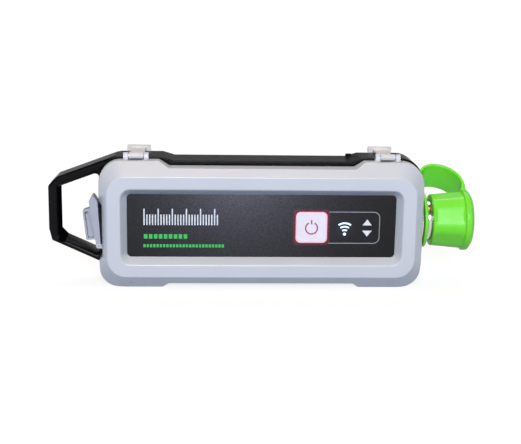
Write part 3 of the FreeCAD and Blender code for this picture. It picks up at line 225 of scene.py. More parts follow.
@dataclass(frozen=True)
class LitFinish(Finish):
    """Plastic lit from behind: one colour at the middle of a rounded square, another at its edge."""

    middle: Pair = (0.0, 0.0)
    half: float = 10.0
    reach: float = 2.0
    centre_glow: str = "FFFFFF"
    edge_glow: str = "FFFFFF"
    strength: float = 0.5

    def outer_glow(self, tree: Tree, place: Socket) -> Socket | Colour:
        """One even glow at the edge."""
        return linear(self.edge_glow)

    def light(self, tree: Tree, place: Socket, shader: Node) -> None:
        """Glow that changes from the middle of the rounded square to its edge.

        Args:
            tree: the material's nodes.
            place: Object coordinates.
            shader: the shader that gives the glow.
        """
        inner = self.half - self.reach
        past = node(tree, "ShaderNodeVectorMath", {
            0: self.past_box(tree, place, self.middle, (inner, inner)), 1: (0.0, 0.0, 0.0)},
            operation="MAXIMUM")
        length = node(tree, "ShaderNodeVectorMath", {0: past}, operation="LENGTH")
        spread = node(tree, "ShaderNodeMapRange", {
            "Value": length.outputs["Value"], "From Max": self.reach * MM}, **SMOOTH)
        mixed = node(tree, "ShaderNodeMix", {
            0: spread, 6: linear(self.centre_glow), 7: self.outer_glow(tree, place)}, data_type="RGBA")
        tree.links.new(mixed.outputs[2], shader.inputs["Emission Color"])
        shader.inputs["Emission Strength"].default_value = self.strength


@dataclass(frozen=True)
class PanelFilm(LitFinish):
    """Dark printed film with painted glows: red round the key and faint blue at the wave sign, where their
    light spills onto the film.
    """

    # painted glow: the wave sign's light on the film round it
    sign: Pair = (57.2, 44.0)
    sign_reach: float = 9.0
    painted_sign_glow: str = "1B2140"
    # painted reflection: where the film is lightest, its level there, and how fast it darkens away
    painted_sheen_middle: Pair = (-18.0, 92.0)
    painted_sheen_even: float = 46.5
    painted_sheen_reach: float = 34.0

    def away(self, tree: Tree, place: Socket, middle: Pair) -> Socket:
        """Distance over the film.

        Args:
            tree: the material's nodes.
            place: Object coordinates.
            middle: X and Z of the point it is measured from.

        Returns:
            The distance in metres.
        """
        flat = node(tree, "ShaderNodeVectorMath", {0: place, 1: (1.0, 0.0, 1.0)}, operation="MULTIPLY")
        return node(tree, "ShaderNodeVectorMath", {
            0: flat, 1: (middle[0] * MM, 0.0, middle[1] * MM)}, operation="DISTANCE").outputs["Value"]

    def colours(self, tree: Tree, place: Socket) -> Socket:
        """Speckled charcoal, scaled by a painted reflection that is lighter near the top and darker away from
        it.

        Args:
            tree: the material's nodes.
            place: Object coordinates.

        Returns:
            The colour.
        """
        # painted reflection: the colour is scaled up near the top of the film and down away from it
        fall = node(tree, "ShaderNodeMath", {
            0: self.away(tree, place, self.painted_sheen_middle), 1: -1.0 / (self.painted_sheen_reach * MM),
            2: self.painted_sheen_even / self.painted_sheen_reach}, operation="MULTIPLY_ADD")
        level = node(tree, "ShaderNodeMath", {0: fall}, operation="EXPONENT")
        return node(tree, "ShaderNodeVectorMath", {
            0: super().colours(tree, place), "Scale": level}, operation="SCALE").outputs[0]

    def outer_glow(self, tree: Tree, place: Socket) -> Socket | Colour:
        """Painted glow, faint, where the wave sign's light spills onto the film.

        Args:
            tree: the material's nodes.
            place: Object coordinates.

        Returns:
            The glow's colour.
        """
        near = node(tree, "ShaderNodeMapRange", {
            "Value": self.away(tree, place, self.sign), "From Max": self.sign_reach * MM,
            "To Min": 1.0, "To Max": 0.0}, **SMOOTH)
        return node(tree, "ShaderNodeMix", {
            0: near, 6: linear(self.edge_glow), 7: linear(self.painted_sign_glow)}, data_type="RGBA").outputs[2]


@dataclass(frozen=True)
class LoopNylon(Finish):
    """Moulded nylon, silky, with painted shade on the inner side of the carrying loop, where its sheen is
    taken off.
    """

    # painted shade: the box on the loop's inner side whose sheen is taken off
    painted_shade_middle: Pair = (-144.2, 49.2)
    painted_shade_half: Pair = (2.4, 19.7)
    painted_shade_fade: float = 0.6

    def light(self, tree: Tree, place: Socket, shader: Node) -> None:
        """No glow; paints shade on the loop's inner side by taking its sheen off.

        Args:
            tree: the material's nodes.
            place: Object coordinates.
            shader: the shader whose sheen changes.
        """
        sides = node(tree, "ShaderNodeSeparateXYZ", {
            0: self.past_box(tree, place, self.painted_shade_middle, self.painted_shade_half)})
        away = node(tree, "ShaderNodeMath", {0: sides, 1: sides.outputs[2]}, operation="MAXIMUM")
        sheen = node(tree, "ShaderNodeMapRange", {
            "Value": away, "From Max": self.painted_shade_fade * MM, "To Min": 0.0, "To Max": self.specular})
        tree.links.new(sheen.outputs[0], shader.inputs["Specular IOR Level"])


@dataclass(frozen=True)
class BoardFinish(Finish):
    """Epoxy-glass board: solder resist with copper tracks and tinned pads."""

    track: str = "1E7A45"
    pad: str = "C9CBC4"
    track_pitch: float = 2.5

    def colours(self, tree: Tree, place: Socket) -> Socket:
        """Tracks in even rows, broken by pads.

        Args:
            tree: the material's nodes.
            place: Object coordinates.

        Returns:
            The colour.
        """
        turned = node(tree, "ShaderNodeMapping", {
            "Vector": place, "Rotation": (math.pi / 2, 0.0, 0.0),
            "Scale": (1 / (self.track_pitch * MM),) * 3})
        tracks = node(tree, "ShaderNodeTexBrick", {
            "Vector": turned, "Color1": linear(self.colour), "Color2": linear(self.shade),
            "Mortar": linear(self.track), "Scale": 1.0, "Mortar Size": 0.12, "Brick Width": 3.1,
            "Row Height": 1.0}, offset=0.37, squash=0.6, squash_frequency=3)
        dots = node(tree, "ShaderNodeTexVoronoi", {"Vector": turned, "Scale": 0.6, "Randomness": 0.8})
        pads = node(tree, "ShaderNodeMath", {0: dots.outputs["Distance"], 1: 0.16}, operation="LESS_THAN")
        return node(tree, "ShaderNodeMix", {
            0: pads, 6: tracks.outputs["Color"], 7: linear(self.pad)}, data_type="RGBA").outputs[2]


class Look(Enum):
    """Every finish of the instrument, named for the real material and how it was made."""

    # Injection-moulded PC/ABS with a fine spark-eroded texture: even light grey, soft sheen.
    COVER = Finish("moulded_pc_abs_grey", "D6D8DC", "CED0D5", 0.31, 0.35, 0.015, 40.0, edge=0.5)
    # Glass-filled nylon, moulded: near black, silky; painted shade takes the sheen off the loop's inner side.
    FRAME = LoopNylon("moulded_nylon_black", "070709", "0C0C0E", 0.31, 0.6, 0.012, 18.0, specular=0.1,
                      edge=0.6)
    # Screen-printed polyester film over the pan: charcoal with a leather-like fine grain, with a painted
    # reflection that makes it lighter towards the top, and a painted red glow round the key.
    FILM = PanelFilm("printed_polyester_charcoal", "17161A", "56555C", 0.45, 0.9, 0.05, 1.0, specular=0.2,
                     middle=(33.5, 44.8), half=13.9, reach=3.6, centre_glow="A0182E", edge_glow="000000",
                     strength=0.6)
    # Silicone key, translucent, lit from behind: white at the middle, pink at its edge.
    KEY = LitFinish("backlit_silicone_key", "E4D9E0", "ECE2E8", 0.35, 0.8, 0.004, 8.0, flesh=0.3, coat=0.2,
                    middle=(33.5, 44.8), half=11.15, reach=3.0, centre_glow="C9D3E6", edge_glow="FF6F90",
                    strength=0.19)
    # Clear red acrylic that carries the lamp light to the edge of the key.
    GUIDE = LitFinish("red_acrylic", "3A0C16", "44101B", 0.2, 1.0, 0.002, 8.0, coat=0.2,
                      middle=(33.5, 44.8), half=12.5, reach=4.5, centre_glow="FF3048", edge_glow="16040A",
                      strength=1.2)
    # White silicone dome under the key: soft, slightly see-through.
    DOME = Finish("moulded_silicone_white", "D8D8D4", "CFCFCB", 0.6, 0.8, 0.01, 6.0, flesh=0.2)
    # Clear epoxy lens over a small lamp: warm and glassy.
    LENS = Finish("epoxy_lens", "E8D9B4", "F2E8CF", 0.15, 0.5, 0.002, 1.0, coat=0.6)
    # Epoxy-glass board with green solder resist: glossy, with darker tracks and bright pads.
    BOARD = BoardFinish("epoxy_glass_board", "0F4A2A", "125332", 0.35, 0.3, 0.006, 20.0, coat=0.3)
    # Zinc-plated steel: grey with a faint cloudy sheen.
    STEEL = Finish("zinc_plated_steel", "A9ABAE", "9C9EA3", 0.35, 0.3, 0.003, 3.0, metallic=1.0)
    # Bright tinned steel sheet, rolled: fine lines along X.
    TIN = Finish("tinned_steel_sheet", "BDBEBC", "B2B3B2", 0.32, 0.25, 0.004, 12.0, metallic=1.0,
                 stretch=(0.04, 1.0, 1.0))
    # Aluminium sheet, brushed: long fine lines along X.
    TRAY = Finish("brushed_aluminium", "B8BABD", "AEB0B4", 0.38, 0.2, 0.005, 20.0, metallic=1.0,
                  stretch=(0.03, 1.0, 1.0))
    # PVC shrink sleeve over the cells: glossy blue, with long soft wrinkles.
    WRAP = Finish("pvc_shrink_wrap", "1F3E74", "274A85", 0.28, 9.0, 0.25, 15.0, coat=0.3,
                  stretch=(0.35, 1.0, 1.6))
    # Turned brass: warm yellow, fairly bright.
    BRASS = Finish("turned_brass", "C79A4B", "B98C40", 0.3, 0.15, 0.004, 4.0, metallic=1.0)
    # Light grey nylon levers with a fine moulded texture.
    LATCH = Finish("moulded_nylon_light_grey", "DEDCD8", "D3D1CF", 0.42, 0.4, 0.015, 8.0)
    # Black thermoplastic of the sockets: dull, finely grained.
    SOCKET = Finish("moulded_pbt_black", "141415", "1B1B1C", 0.45, 0.4, 0.008, 4.0)
    # Moulded grey plastic door with a soft sheen.
    DOOR = Finish("moulded_plastic_grey", "B5B6BE", "A7A8B1", 0.45, 0.5, 0.015, 7.0)
    # Nitrile seals: soft matte black.
    SEAL = Finish("moulded_nitrile_black", "18181A", "202022", 0.7, 0.8, 0.02, 6.0, specular=0.3)
    # White bronze plating over turned brass: warm bright metal with turning lines.
    PLATING = Finish("white_bronze_plating", "D2CFC8", "C4C1BA", 0.2, 0.12, 0.003, 5.0, metallic=1.0,
                     stretch=(1.0, 0.05, 0.05))
    # White fluoropolymer bead: waxy, slightly see-through.
    BEAD = Finish("turned_fluoropolymer", "E9E9E6", "E0E0DD", 0.4, 0.3, 0.004, 4.0, flesh=0.2)
    # Silver-plated contact: bright, a little warm.
    SILVER = Finish("silver_plating", "D8D6D0", "CBC9C3", 0.18, 0.12, 0.002, 3.0, metallic=1.0)
    # Fluoropolymer jacket of the short inside cable: smooth brown, drawn along X.
    JACKET = Finish("extruded_jacket_brown", "4A2C1A", "543421", 0.4, 1.2, 0.01, 5.0,
                    stretch=(0.2, 1.0, 1.0))
    # Thermoplastic rubber, bright green, satin, a little translucent.
    RUBBER = Finish("moulded_rubber_green", "80EE3C", "76E434", 0.38, 0.6, 0.012, 12.0, flesh=0.08,
                    specular=0.35)
    # Screen inks on the panel: even, a little duller than the film.
    WHITE_INK = Finish("screen_ink_white", "F1F3F6", "E6E9EE", 0.45, 0.4, 0.004, 3.0)
    GREEN_INK = Finish("screen_ink_green", "46C85E", "3DBB55", 0.45, 0.4, 0.004, 3.0)
    GREY_INK = Finish("screen_ink_grey", "9B9DA3", "8E9097", 0.45, 0.4, 0.004, 3.0)
    RED_INK = Finish("screen_ink_red", "B4345A", "AA2E52", 0.4, 0.4, 0.004, 3.0)
    # Clear window in the print with a lamp behind it: cool white.
    LIT_INK = LitFinish("lit_window_blue_white", "DDE8F8", "E6EEFA", 0.35, 0.5, 0.004, 3.0,
                        middle=(57.2, 44.0), half=9.0, reach=4.0, centre_glow="DDEBFF",
                        edge_glow="AFC8FF", strength=0.6)


# ---- meshes

def finished(form: Form, name: str, sharp: float = CREASE) -> Piece:
    """Turn a bmesh in millimetres into an object with outward faces and soft shading.

    Args:
        form: the mesh, which is freed.
        name: the piece's name.
        sharp: edges turned by more than this many degrees stay crisp.

    Returns:
        The object, at the origin.
    """
    bmesh.ops.remove_doubles(form, verts=form.verts, dist=MERGE)
    bmesh.ops.recalc_face_normals(form, faces=form.faces)
    bmesh.ops.scale(form, verts=form.verts, vec=(MM, MM, MM))
    mesh = bpy.data.meshes.new(name)
    form.to_mesh(mesh)
    form.free()
    mesh.shade_smooth()
    mesh.set_sharp_from_angle(angle=math.radians(sharp))
    piece = bpy.data.objects.new(name, mesh)
    bpy.context.scene.collection.objects.link(piece)
    return piece


def rounded(corners: list[Triple], steps: int = 6) -> Line:
    """Replace the corners of an open path by arcs.

    Args:
        corners: (a, b, radius) for each corner; the first and last are the ends.
        steps: points on each arc, less one.

    Returns:
        The path's points.
    """
    path = [corners[0][:2]]
    for (pa, pb, _), (a, b, radius), (na, nb, _) in zip(corners, corners[1:], corners[2:]):
        here = Vector((a, b))
        back, ahead = (Vector((pa, pb)) - here).normalized(), (Vector((na, nb)) - here).normalized()
        half = back.angle(ahead) / 2
        if radius <= 0 or half > math.radians(STRAIGHT):
            path.append((a, b))
            continue
        reach = radius / math.tan(half)
        centre = here + (back + ahead).normalized() * (radius / math.sin(half))
        start, end = here + back * reach - centre, here + ahead * reach - centre
        turn = start.angle_signed(end)
        for i in range(steps + 1):
            spun = start.copy()
            spun.rotate(Matrix.Rotation(-turn * i / steps, 2))
            path.append(tuple(centre + spun))
    return path + [corners[-1][:2]]


def arc(cx: float, cz: float, radius: float, start: float, end: float, steps: int = 24) -> Line:
    """Points on an arc in XZ, with angles in degrees from +X towards +Z."""
    turns = [math.radians(start + (end - start) * i / steps) for i in range(steps + 1)]
    return [(cx + radius * math.cos(t), cz + radius * math.sin(t)) for t in turns]


def skin(form: Form, rings: list[list[bmesh.types.BMVert]], capped: bool = False) -> None:
    """Join rings of points by faces, in order.

    Args:
        form: the mesh that has the points.
        rings: the rings; one that has a single point is a pole.
        capped: whether a face closes the first ring and the last.
    """
    for a, b in zip(rings, rings[1:]):
        for i in range(max(len(a), len(b))):
            corners = a[i % len(a)], a[(i + 1) % len(a)], b[(i + 1) % len(b)], b[i % len(b)]
            form.faces.new(tuple(dict.fromkeys(corners)))
    if capped:
        form.faces.new(rings[0])
        form.faces.new(rings[-1])


def stroke(form: Form, path: Line, width: float, front: float, back: float, closed: bool = False) -> None:
    """Add a flat line of even width, drawn in XZ, to a mesh.

    Args:
        form: the mesh to add to.
        path: the line's middle.
        width: its width.
        front: Y of its front face.
        back: Y of its back face.
        closed: whether the last point joins the first.
    """
    points = [Vector(p) for p in path]
    count = len(points)
    rings = []
    for i, here in enumerate(points):
        before = points[i - 1] if i or closed else here - (points[1] - here)
        after = points[(i + 1) % count] if i < count - 1 or closed else here + (here - points[i - 1])
        along = ((here - before).normalized() + (after - here).normalized()).normalized()
        side = Vector((-along.y, along.x)) * width / 2
        side /= max(0.5, along.dot((after - here).normalized()))
        corners = ((here + side, front), (here - side, front), (here - side, back), (here + side, back))
        rings.append([form.verts.new((c.x, y, c.y)) for c, y in corners])
    skin(form, rings + rings[:1] if closed else rings, not closed)


def lathe(profile: Line, axis: Pair, around: int,
          shape: Callable[[float, float, float], float] | None = None) -> Form:
    """Turn a profile about an X axis.

    Args:
        profile: (x, radius) points; a radius of 0 is a pole.
        axis: Y and Z of the axis.
        around: points round the axis.
        shape: changes the radius: a function of x, radius and the angle from +Z towards +Y.

    Returns:
        The mesh, in millimetres.
    """
    form = bmesh.new()
    rings = []
    for x, radius in profile:
        if not radius:
            rings.append([form.verts.new((x, *axis))])
            continue
        ring = []
        for i in range(around):
            turn = 2 * math.pi * i / around
            r = shape(x, radius, turn) if shape else radius
            ring.append(form.verts.new((x, axis[0] + r * math.sin(turn), axis[1] + r * math.cos(turn))))
        rings.append(ring)
    skin(form, rings)
    return form


def grown(name: str, sizes: dict[str, int | float | Vector], material: bpy.types.Material,
          shape: Callable[[Tree, Inputs], Node]) -> Piece:
    """Make a piece with Geometry Nodes and keep it as a plain mesh.

    Args:
        name: the piece's name.
        sizes: the tree's named inputs, with lengths and places in metres.
        material: what the piece is made of.
        shape: adds the nodes to a tree, given its inputs, and returns the one with the geometry.

    Returns:
        The piece, with no modifier left on it.
    """
    piece = finished(bmesh.new(), name)
    tree = bpy.data.node_groups.new(name, "GeometryNodeTree")
    kinds = {int: "NodeSocketInt", float: "NodeSocketFloat", Vector: "NodeSocketVector"}
    sockets = {size: tree.interface.new_socket(size, in_out="INPUT", socket_type=kinds[type(value)])
               for size, value in sizes.items()}
    tree.interface.new_socket("Geometry", in_out="OUTPUT", socket_type="NodeSocketGeometry")
    made = shape(tree, node(tree, "NodeGroupInput").outputs)
    real = node(tree, "GeometryNodeRealizeInstances", {"Geometry": made})
    dressed = node(tree, "GeometryNodeSetMaterial", {"Geometry": real, "Material": material})
    node(tree, "NodeGroupOutput", {"Geometry": dressed})
    layer = piece.modifiers.new(name, "NODES")
    layer.node_group = tree
    for size, value in sizes.items():
        layer[sockets[size].identifier] = value
    bpy.context.view_layer.update()
    graph = bpy.context.evaluated_depsgraph_get()
    mesh = bpy.data.meshes.new_from_object(piece.evaluated_get(graph), depsgraph=graph)
    piece.modifiers.clear()
    piece.data = mesh
    return piece


# ---- sub-assemblies, with their sizes in millimetres

@dataclass(frozen=True)
class SoftSolid:
    """A CAD solid with even shading, or with its sharp edges rounded by a radius."""

    source: str
    name: str
    look: Look
    body: str
    slot: str
    edge: float = 0.0

    def piece(self) -> Piece:
        """Copy the solid and soften it.

        Returns:
            The new piece, still to be dressed.
        """
        form = bmesh.new()
        form.from_mesh(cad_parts[self.source].data)
        bmesh.ops.remove_doubles(form, verts=form.verts, dist=WELD)
        if self.edge:
            bmesh.ops.dissolve_limit(form, angle_limit=math.radians(FLAT), verts=form.verts, edges=form.edges)
        bmesh.ops.scale(form, verts=form.verts, vec=(1 / MM, 1 / MM, 1 / MM))
        piece = finished(form, self.name)
        if not self.edge:
            even = piece.modifiers.new("even shading", "WEIGHTED_NORMAL")
            even.keep_sharp, even.weight = True, 100
            return piece
        soft = piece.modifiers.new("soft edges", "BEVEL")
        soft.width, soft.segments, soft.limit_method = self.edge * MM, ACROSS, "ANGLE"
        soft.angle_limit, soft.harden_normals = math.radians(CREASE), True
        return piece


@dataclass
class Assembly:
    """Shared tools of the sub-assemblies, and the CAD solids that are softened or keep their shape."""

    looks: dict[Look, bpy.types.Material]
    soft: tuple[SoftSolid, ...] = ()
    solids: Solids = ()

    def build(self) -> None:
        """Soften the CAD solids that need it, and dress those that keep their shape."""
        for soft in self.soft:
            self.keep(soft.piece(), soft.look, soft.body, soft.slot, soft.source)
        for source, look in self.solids:
            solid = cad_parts[source]
            if not solid.material_slots:
                solid.data.materials.append(self.looks[look])
            for place in solid.material_slots:
                place.material = self.looks[look]
            LOG.info("%s: %s", source, look.value.name)

    def keep(self, piece: Piece, look: Look, body: str, slot: str, *nodes: str) -> None:
        """Dress a piece, set it on its body, and hide the CAD solids it stands for.

        Args:
            piece: the finished piece.
            look: what it is made of.
            body: the body that it rides on, or nothing, where it is set on no body.
            slot: the record's material slot; not used.
            nodes: the CAD solids that it replaces.
        """
        piece.data.materials.clear()
        piece.data.materials.append(self.looks[look])
        if nodes:
            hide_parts(*nodes)
        if body:
            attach(piece, body)
        LOG.info("%s: %s, on %s", piece.name, look.value.name, body or "two bodies")


@dataclass
class Housing(Assembly):
    """Two grey covers, the black frame with its loop, seals, screws and inserts."""

    soft: tuple[SoftSolid, ...] = (
        SoftSolid("front_cover", "front_cover_skin", Look.COVER, "case", "cover_grey"),
        SoftSolid("rear_cover", "rear_cover_skin", Look.COVER, "rear", "cover_grey"),
        SoftSolid("carry_frame", "carry_frame_skin", Look.FRAME, "case", "frame_black"))
    solids: Solids = (
        ("front_seal", Look.SEAL), ("rear_seal", Look.SEAL), ("case_screws", Look.STEEL),
        ("case_inserts", Look.BRASS))


@dataclass
class Latches(Assembly):
    """Two lever latches with their pins."""

    soft: tuple[SoftSolid, ...] = (
        SoftSolid("latch_left", "latch_left_lever", Look.LATCH, "latch_left", "latch_grey", 0.35),
        SoftSolid("latch_right", "latch_right_lever", Look.LATCH, "latch_right", "latch_grey", 0.35))
    solids: Solids = (("latch_pins", Look.STEEL),)


@dataclass
class Electronics(Assembly):
    """Boards, measuring unit, battery and their fasteners."""

    solids: Solids = (
        ("main_board", Look.BOARD), ("board_screws", Look.STEEL), ("wifi_module", Look.TIN),
        ("rf_module", Look.TIN), ("battery_tray", Look.TRAY), ("tray_screws", Look.STEEL),
        ("battery_pack", Look.WRAP), ("battery_contacts", Look.BRASS), ("button_dome", Look.DOME),
        ("status_leds", Look.LENS), ("rf_pigtail", Look.JACKET), ("data_port", Look.STEEL),
        ("power_jack", Look.SOCKET))


@dataclass
class PortDoor(Assembly):
    """Door over the ports at the left end, with its pin and seal."""

    soft: tuple[SoftSolid, ...] = (
        SoftSolid("port_door", "port_door_leaf", Look.DOOR, "door", "door_grey", 0.5),)
    solids: Solids = (("port_door_pin", Look.STEEL), ("port_gasket", Look.SEAL))


@dataclass
class Row:
    """An even row of flat marks; every so many may be taller."""

    name: str
    look: Look
    first: Pair
    count: int
    pitch: float
    size: Pair
    every: int = 0
    taller: float = 1.0


@dataclass
class Panel(Assembly):
    """Printed film, lit key and the plain marks printed on the film."""

    solids: Solids = (
        ("panel_overlay", Look.FILM), ("power_button", Look.KEY), ("light_guide", Look.GUIDE))
    face: float = -31.70
    key_face: float = -32.70
    print_depth: float = 0.05
    sunk: float = 0.02
    rows: tuple[Row, ...] = (
        Row("scale_marks", Look.WHITE_INK, (-84.6, 46.0), 27, 1.98, (0.9, 7.6), 5, 1.55),
        Row("green_dashes", Look.GREEN_INK, (-83.6, 36.2), 9, 3.5, (2.5, 3.2)),
        Row("small_dashes", Look.GREEN_INK, (-84.4, 29.9), 25, 2.3, (1.6, 2.2)))
    key: Pair = (33.5, 44.4)
    key_ring: float = 4.2
    key_gap: Pair = (118, 422)
    key_bar: Pair = (2.9, 6.0)
    key_line: float = 0.95
    outline_x: Pair = (45.95, 82.0)
    outline_z: Pair = (33.3, 56.0)
    outline_corner: float = 4.2
    outline_line: float = 0.6
    wave: Pair = (57.2, 40.0)
    wave_dot: float = 0.55
    wave_radii: Triple = (2.9, 5.4, 7.9)
    wave_sweep: Pair = (56, 124)
    wave_line: float = 1.2
    arrow_x: float = 73.2
    arrow_size: Pair = (3.4, 4.3)
    arrows: tuple[tuple[float, int], ...] = ((46.4, 1), (42.6, -1))

    def build(self) -> None:
        """Dress the film, key and guide, and print the marks."""
        super().build()
        middle = self.face + (self.sunk - self.print_depth) / 2
        for row in self.rows:
            marks = grown(row.name, {
                "Start": Vector((row.first[0], middle, row.first[1])) * MM, "Count": row.count,
                "Pitch": row.pitch * MM, "Width": row.size[0] * MM, "Height": row.size[1] * MM,
                "Depth": (self.print_depth + self.sunk) * MM, "Every": row.every or row.count * 2,
                "Taller": row.taller}, self.looks[row.look], self.marks)
            self.keep(marks, row.look, "case", "panel_film")
        self.line_signs()
        self.keep(self.arrow_signs(), Look.WHITE_INK, "case", "panel_film")

    def line_signs(self) -> None:
        """Draw the open ring and bar on the key, the outline round the signs, and the plain wave sign."""
        x, z = self.key
        power = [(arc(x, z, self.key_ring, *self.key_gap, steps=48), self.key_line, False),
                 ([(x, z + end) for end in self.key_bar], self.key_line, False)]
        (left, right), (low, high), corner = self.outline_x, self.outline_z, self.outline_corner
        path = rounded([(left, high, 0), (right, high, corner), (right, low, corner), (left, low, 0)], 8)
        wave = [(arc(*self.wave, self.wave_dot, 0, 345), 2 * self.wave_dot, True)]
        wave += [(arc(*self.wave, radius, *self.wave_sweep, steps=20), self.wave_line, False)
                 for radius in self.wave_radii]
        for name, look, body, slot, face, lines in (
                ("power_sign", Look.RED_INK, "button", "key_white", self.key_face, power),
                ("panel_outline", Look.GREY_INK, "case", "panel_film", self.face,
                 [(path, self.outline_line, False)]),
                ("wave_sign", Look.LIT_INK, "case", "panel_film", self.face, wave)):
            form = bmesh.new()
            for line, width, closed in lines:
                stroke(form, line, width, face - self.print_depth, face + self.sunk, closed)
            self.keep(finished(form, name), look, body, slot)

    def marks(self, tree: Tree, given: Inputs) -> Node:
        """Lay marks along X.

        Args:
            tree: the geometry nodes.
            given: the tree's inputs, by name.

        Returns:
            The node that gives the marks.
        """
        step = node(tree, "ShaderNodeCombineXYZ", {0: given["Pitch"]})
        line = node(tree, "GeometryNodeMeshLine", {
            "Count": given["Count"], "Start Location": given["Start"], "Offset": step}, mode="OFFSET")
        size = node(tree, "ShaderNodeCombineXYZ", {0: given["Width"], 1: given["Depth"], 2: given["Height"]})
        block = node(tree, "GeometryNodeMeshCube", {"Size": size})
        lift = node(tree, "ShaderNodeMath", {0: given["Height"], 1: 2.0}, operation="DIVIDE")
        raised = node(tree, "ShaderNodeCombineXYZ", {2: lift})
        mark = node(tree, "GeometryNodeTransform", {"Geometry": block.outputs["Mesh"], "Translation": raised})
        index = node(tree, "GeometryNodeInputIndex")
        rest = node(tree, "ShaderNodeMath", {0: index, 1: given["Every"]}, operation="MODULO")
        first = node(tree, "ShaderNodeMath", {0: rest, 1: 0.5}, operation="LESS_THAN")
        tall = node(tree, "ShaderNodeMapRange", {"Value": first, "To Min": 1.0, "To Max": given["Taller"]})
        scale = node(tree, "ShaderNodeCombineXYZ", {0: 1.0, 1: 1.0, 2: tall})
        return node(tree, "GeometryNodeInstanceOnPoints", {"Points": line, "Instance": mark, "Scale": scale})

    def arrow_signs(self) -> Piece:
        """Draw two plain arrowheads, one up and one down.

        Returns:
            Both arrowheads.
        """
        form = bmesh.new()
        half, tall = self.arrow_size
        for z, way in self.arrows:
            corners = ((-half, 0.0), (half, 0.0), (0.0, tall))
            skin(form, [[form.verts.new((self.arrow_x + dx, y, z + way * dz)) for dx, dz in corners]
                        for y in (self.face - self.print_depth, self.face + self.sunk)], True)
        return finished(form, "arrow_signs")


@dataclass
class TestPort(Assembly):
    """Plated coaxial port: body with its thread, bead, contact, seal and nut."""

    solids: Solids = (
        ("rf_insulator", Look.BEAD), ("rf_contact", Look.SILVER), ("connector_gasket", Look.SEAL),
        ("connector_nut", Look.STEEL))
    axis: Pair = (-4.4993, 44.8)
    inner: float = 99.0
    flange: float = 114.5
    flange_t: float = 1.8
    flange_r: float = 17.5
    neck_r: float = 13.5
    neck_end: float = 5.2
    end: float = 142.3
    thread: float = 14.5
    root: float = 13.75
    tip_r: float = 13.0
    collar: float = 4.0
    pitch: float = 1.5
    ridge: float = 0.62
    run_out: float = 1.4
    shank_r: float = 9.0
    bore: float = 6.82
    seat_r: float = 8.2
    seat: float = 3.0
    socket_r: float = 10.6
    socket: float = 18.0
    around: int = 96

    def build(self) -> None:
        """Turn the body, cut its thread and dress the rest."""
        self.keep(self.body(), Look.PLATING, "case", "port_plating", "rf_connector")
        self.keep(self.thread_ridge(), Look.PLATING, "case", "port_plating")
        super().build()

    def body(self) -> Piece:
        """Turn the body, with softened edges.

        Returns:
            The body.
        """
        neck, start = self.flange + self.flange_t, self.flange + self.neck_end
        floor, seat = self.end - self.socket, self.end - self.seat
        # Each corner is (x, radius, how much it is rounded).
        profile = rounded([
            (self.inner, self.bore, 0), (self.inner, self.shank_r, 0.3), (self.flange, self.shank_r, 0),
            (self.flange, self.flange_r, 0.1), (neck, self.flange_r, 0.5), (neck, self.neck_r, 0.3),
            (start, self.neck_r, 0.3), (start, self.thread, 0.5), (start + self.collar, self.thread, 0.3),
            (start + self.collar, self.root, 0.1), (self.end - 0.9, self.root, 0.1),
            (self.end - 0.4, self.tip_r + 0.3, 0.2), (self.end, self.tip_r, 0.3),
            (self.end, self.socket_r, 0.5), (floor, self.socket_r, 0.3), (floor, self.seat_r, 0.3),
            (seat, self.seat_r, 0.4), (seat, self.bore, 0.3), (self.inner, self.bore, 0)], steps=4)
        return finished(lathe(profile, self.axis, self.around), "test_port_body")

    def thread_ridge(self) -> Piece:
        """Cut the thread, as a ridge on the body.

        Returns:
            The ridge.
        """
        start = self.flange + self.neck_end + self.collar + self.pitch
        length = self.end - self.run_out - start
        return grown("test_port_thread", {
            "Start": Vector((start, *self.axis)) * MM, "Radius": self.root * MM, "Length": length * MM,
            "Turns": length / self.pitch, "Ridge": self.ridge * self.pitch * MM},
            self.looks[Look.PLATING], self.helix)

    def helix(self, tree: Tree, given: Inputs) -> Node:
        """Sweep a ridge along a helix.

        Args:
            tree: the geometry nodes.
            given: the tree's inputs, by name.

        Returns:
            The node that gives the ridge.
        """
        line = node(tree, "GeometryNodeCurveSpiral", {
            "Resolution": 48, "Rotations": given["Turns"], "Start Radius": given["Radius"],
            "End Radius": given["Radius"], "Height": given["Length"]})
        upright = node(tree, "GeometryNodeSetCurveNormal", {"Curve": line}, mode="Z_UP")
        ridge = node(tree, "GeometryNodeCurvePrimitiveCircle", {"Resolution": 4, "Radius": given["Ridge"]})
        swept = node(tree, "GeometryNodeCurveToMesh", {
            "Curve": upright, "Profile Curve": ridge, "Fill Caps": True})
        return node(tree, "GeometryNodeTransform", {
            "Geometry": swept, "Rotation": (0.0, math.pi / 2, 0.0), "Translation": given["Start"]})


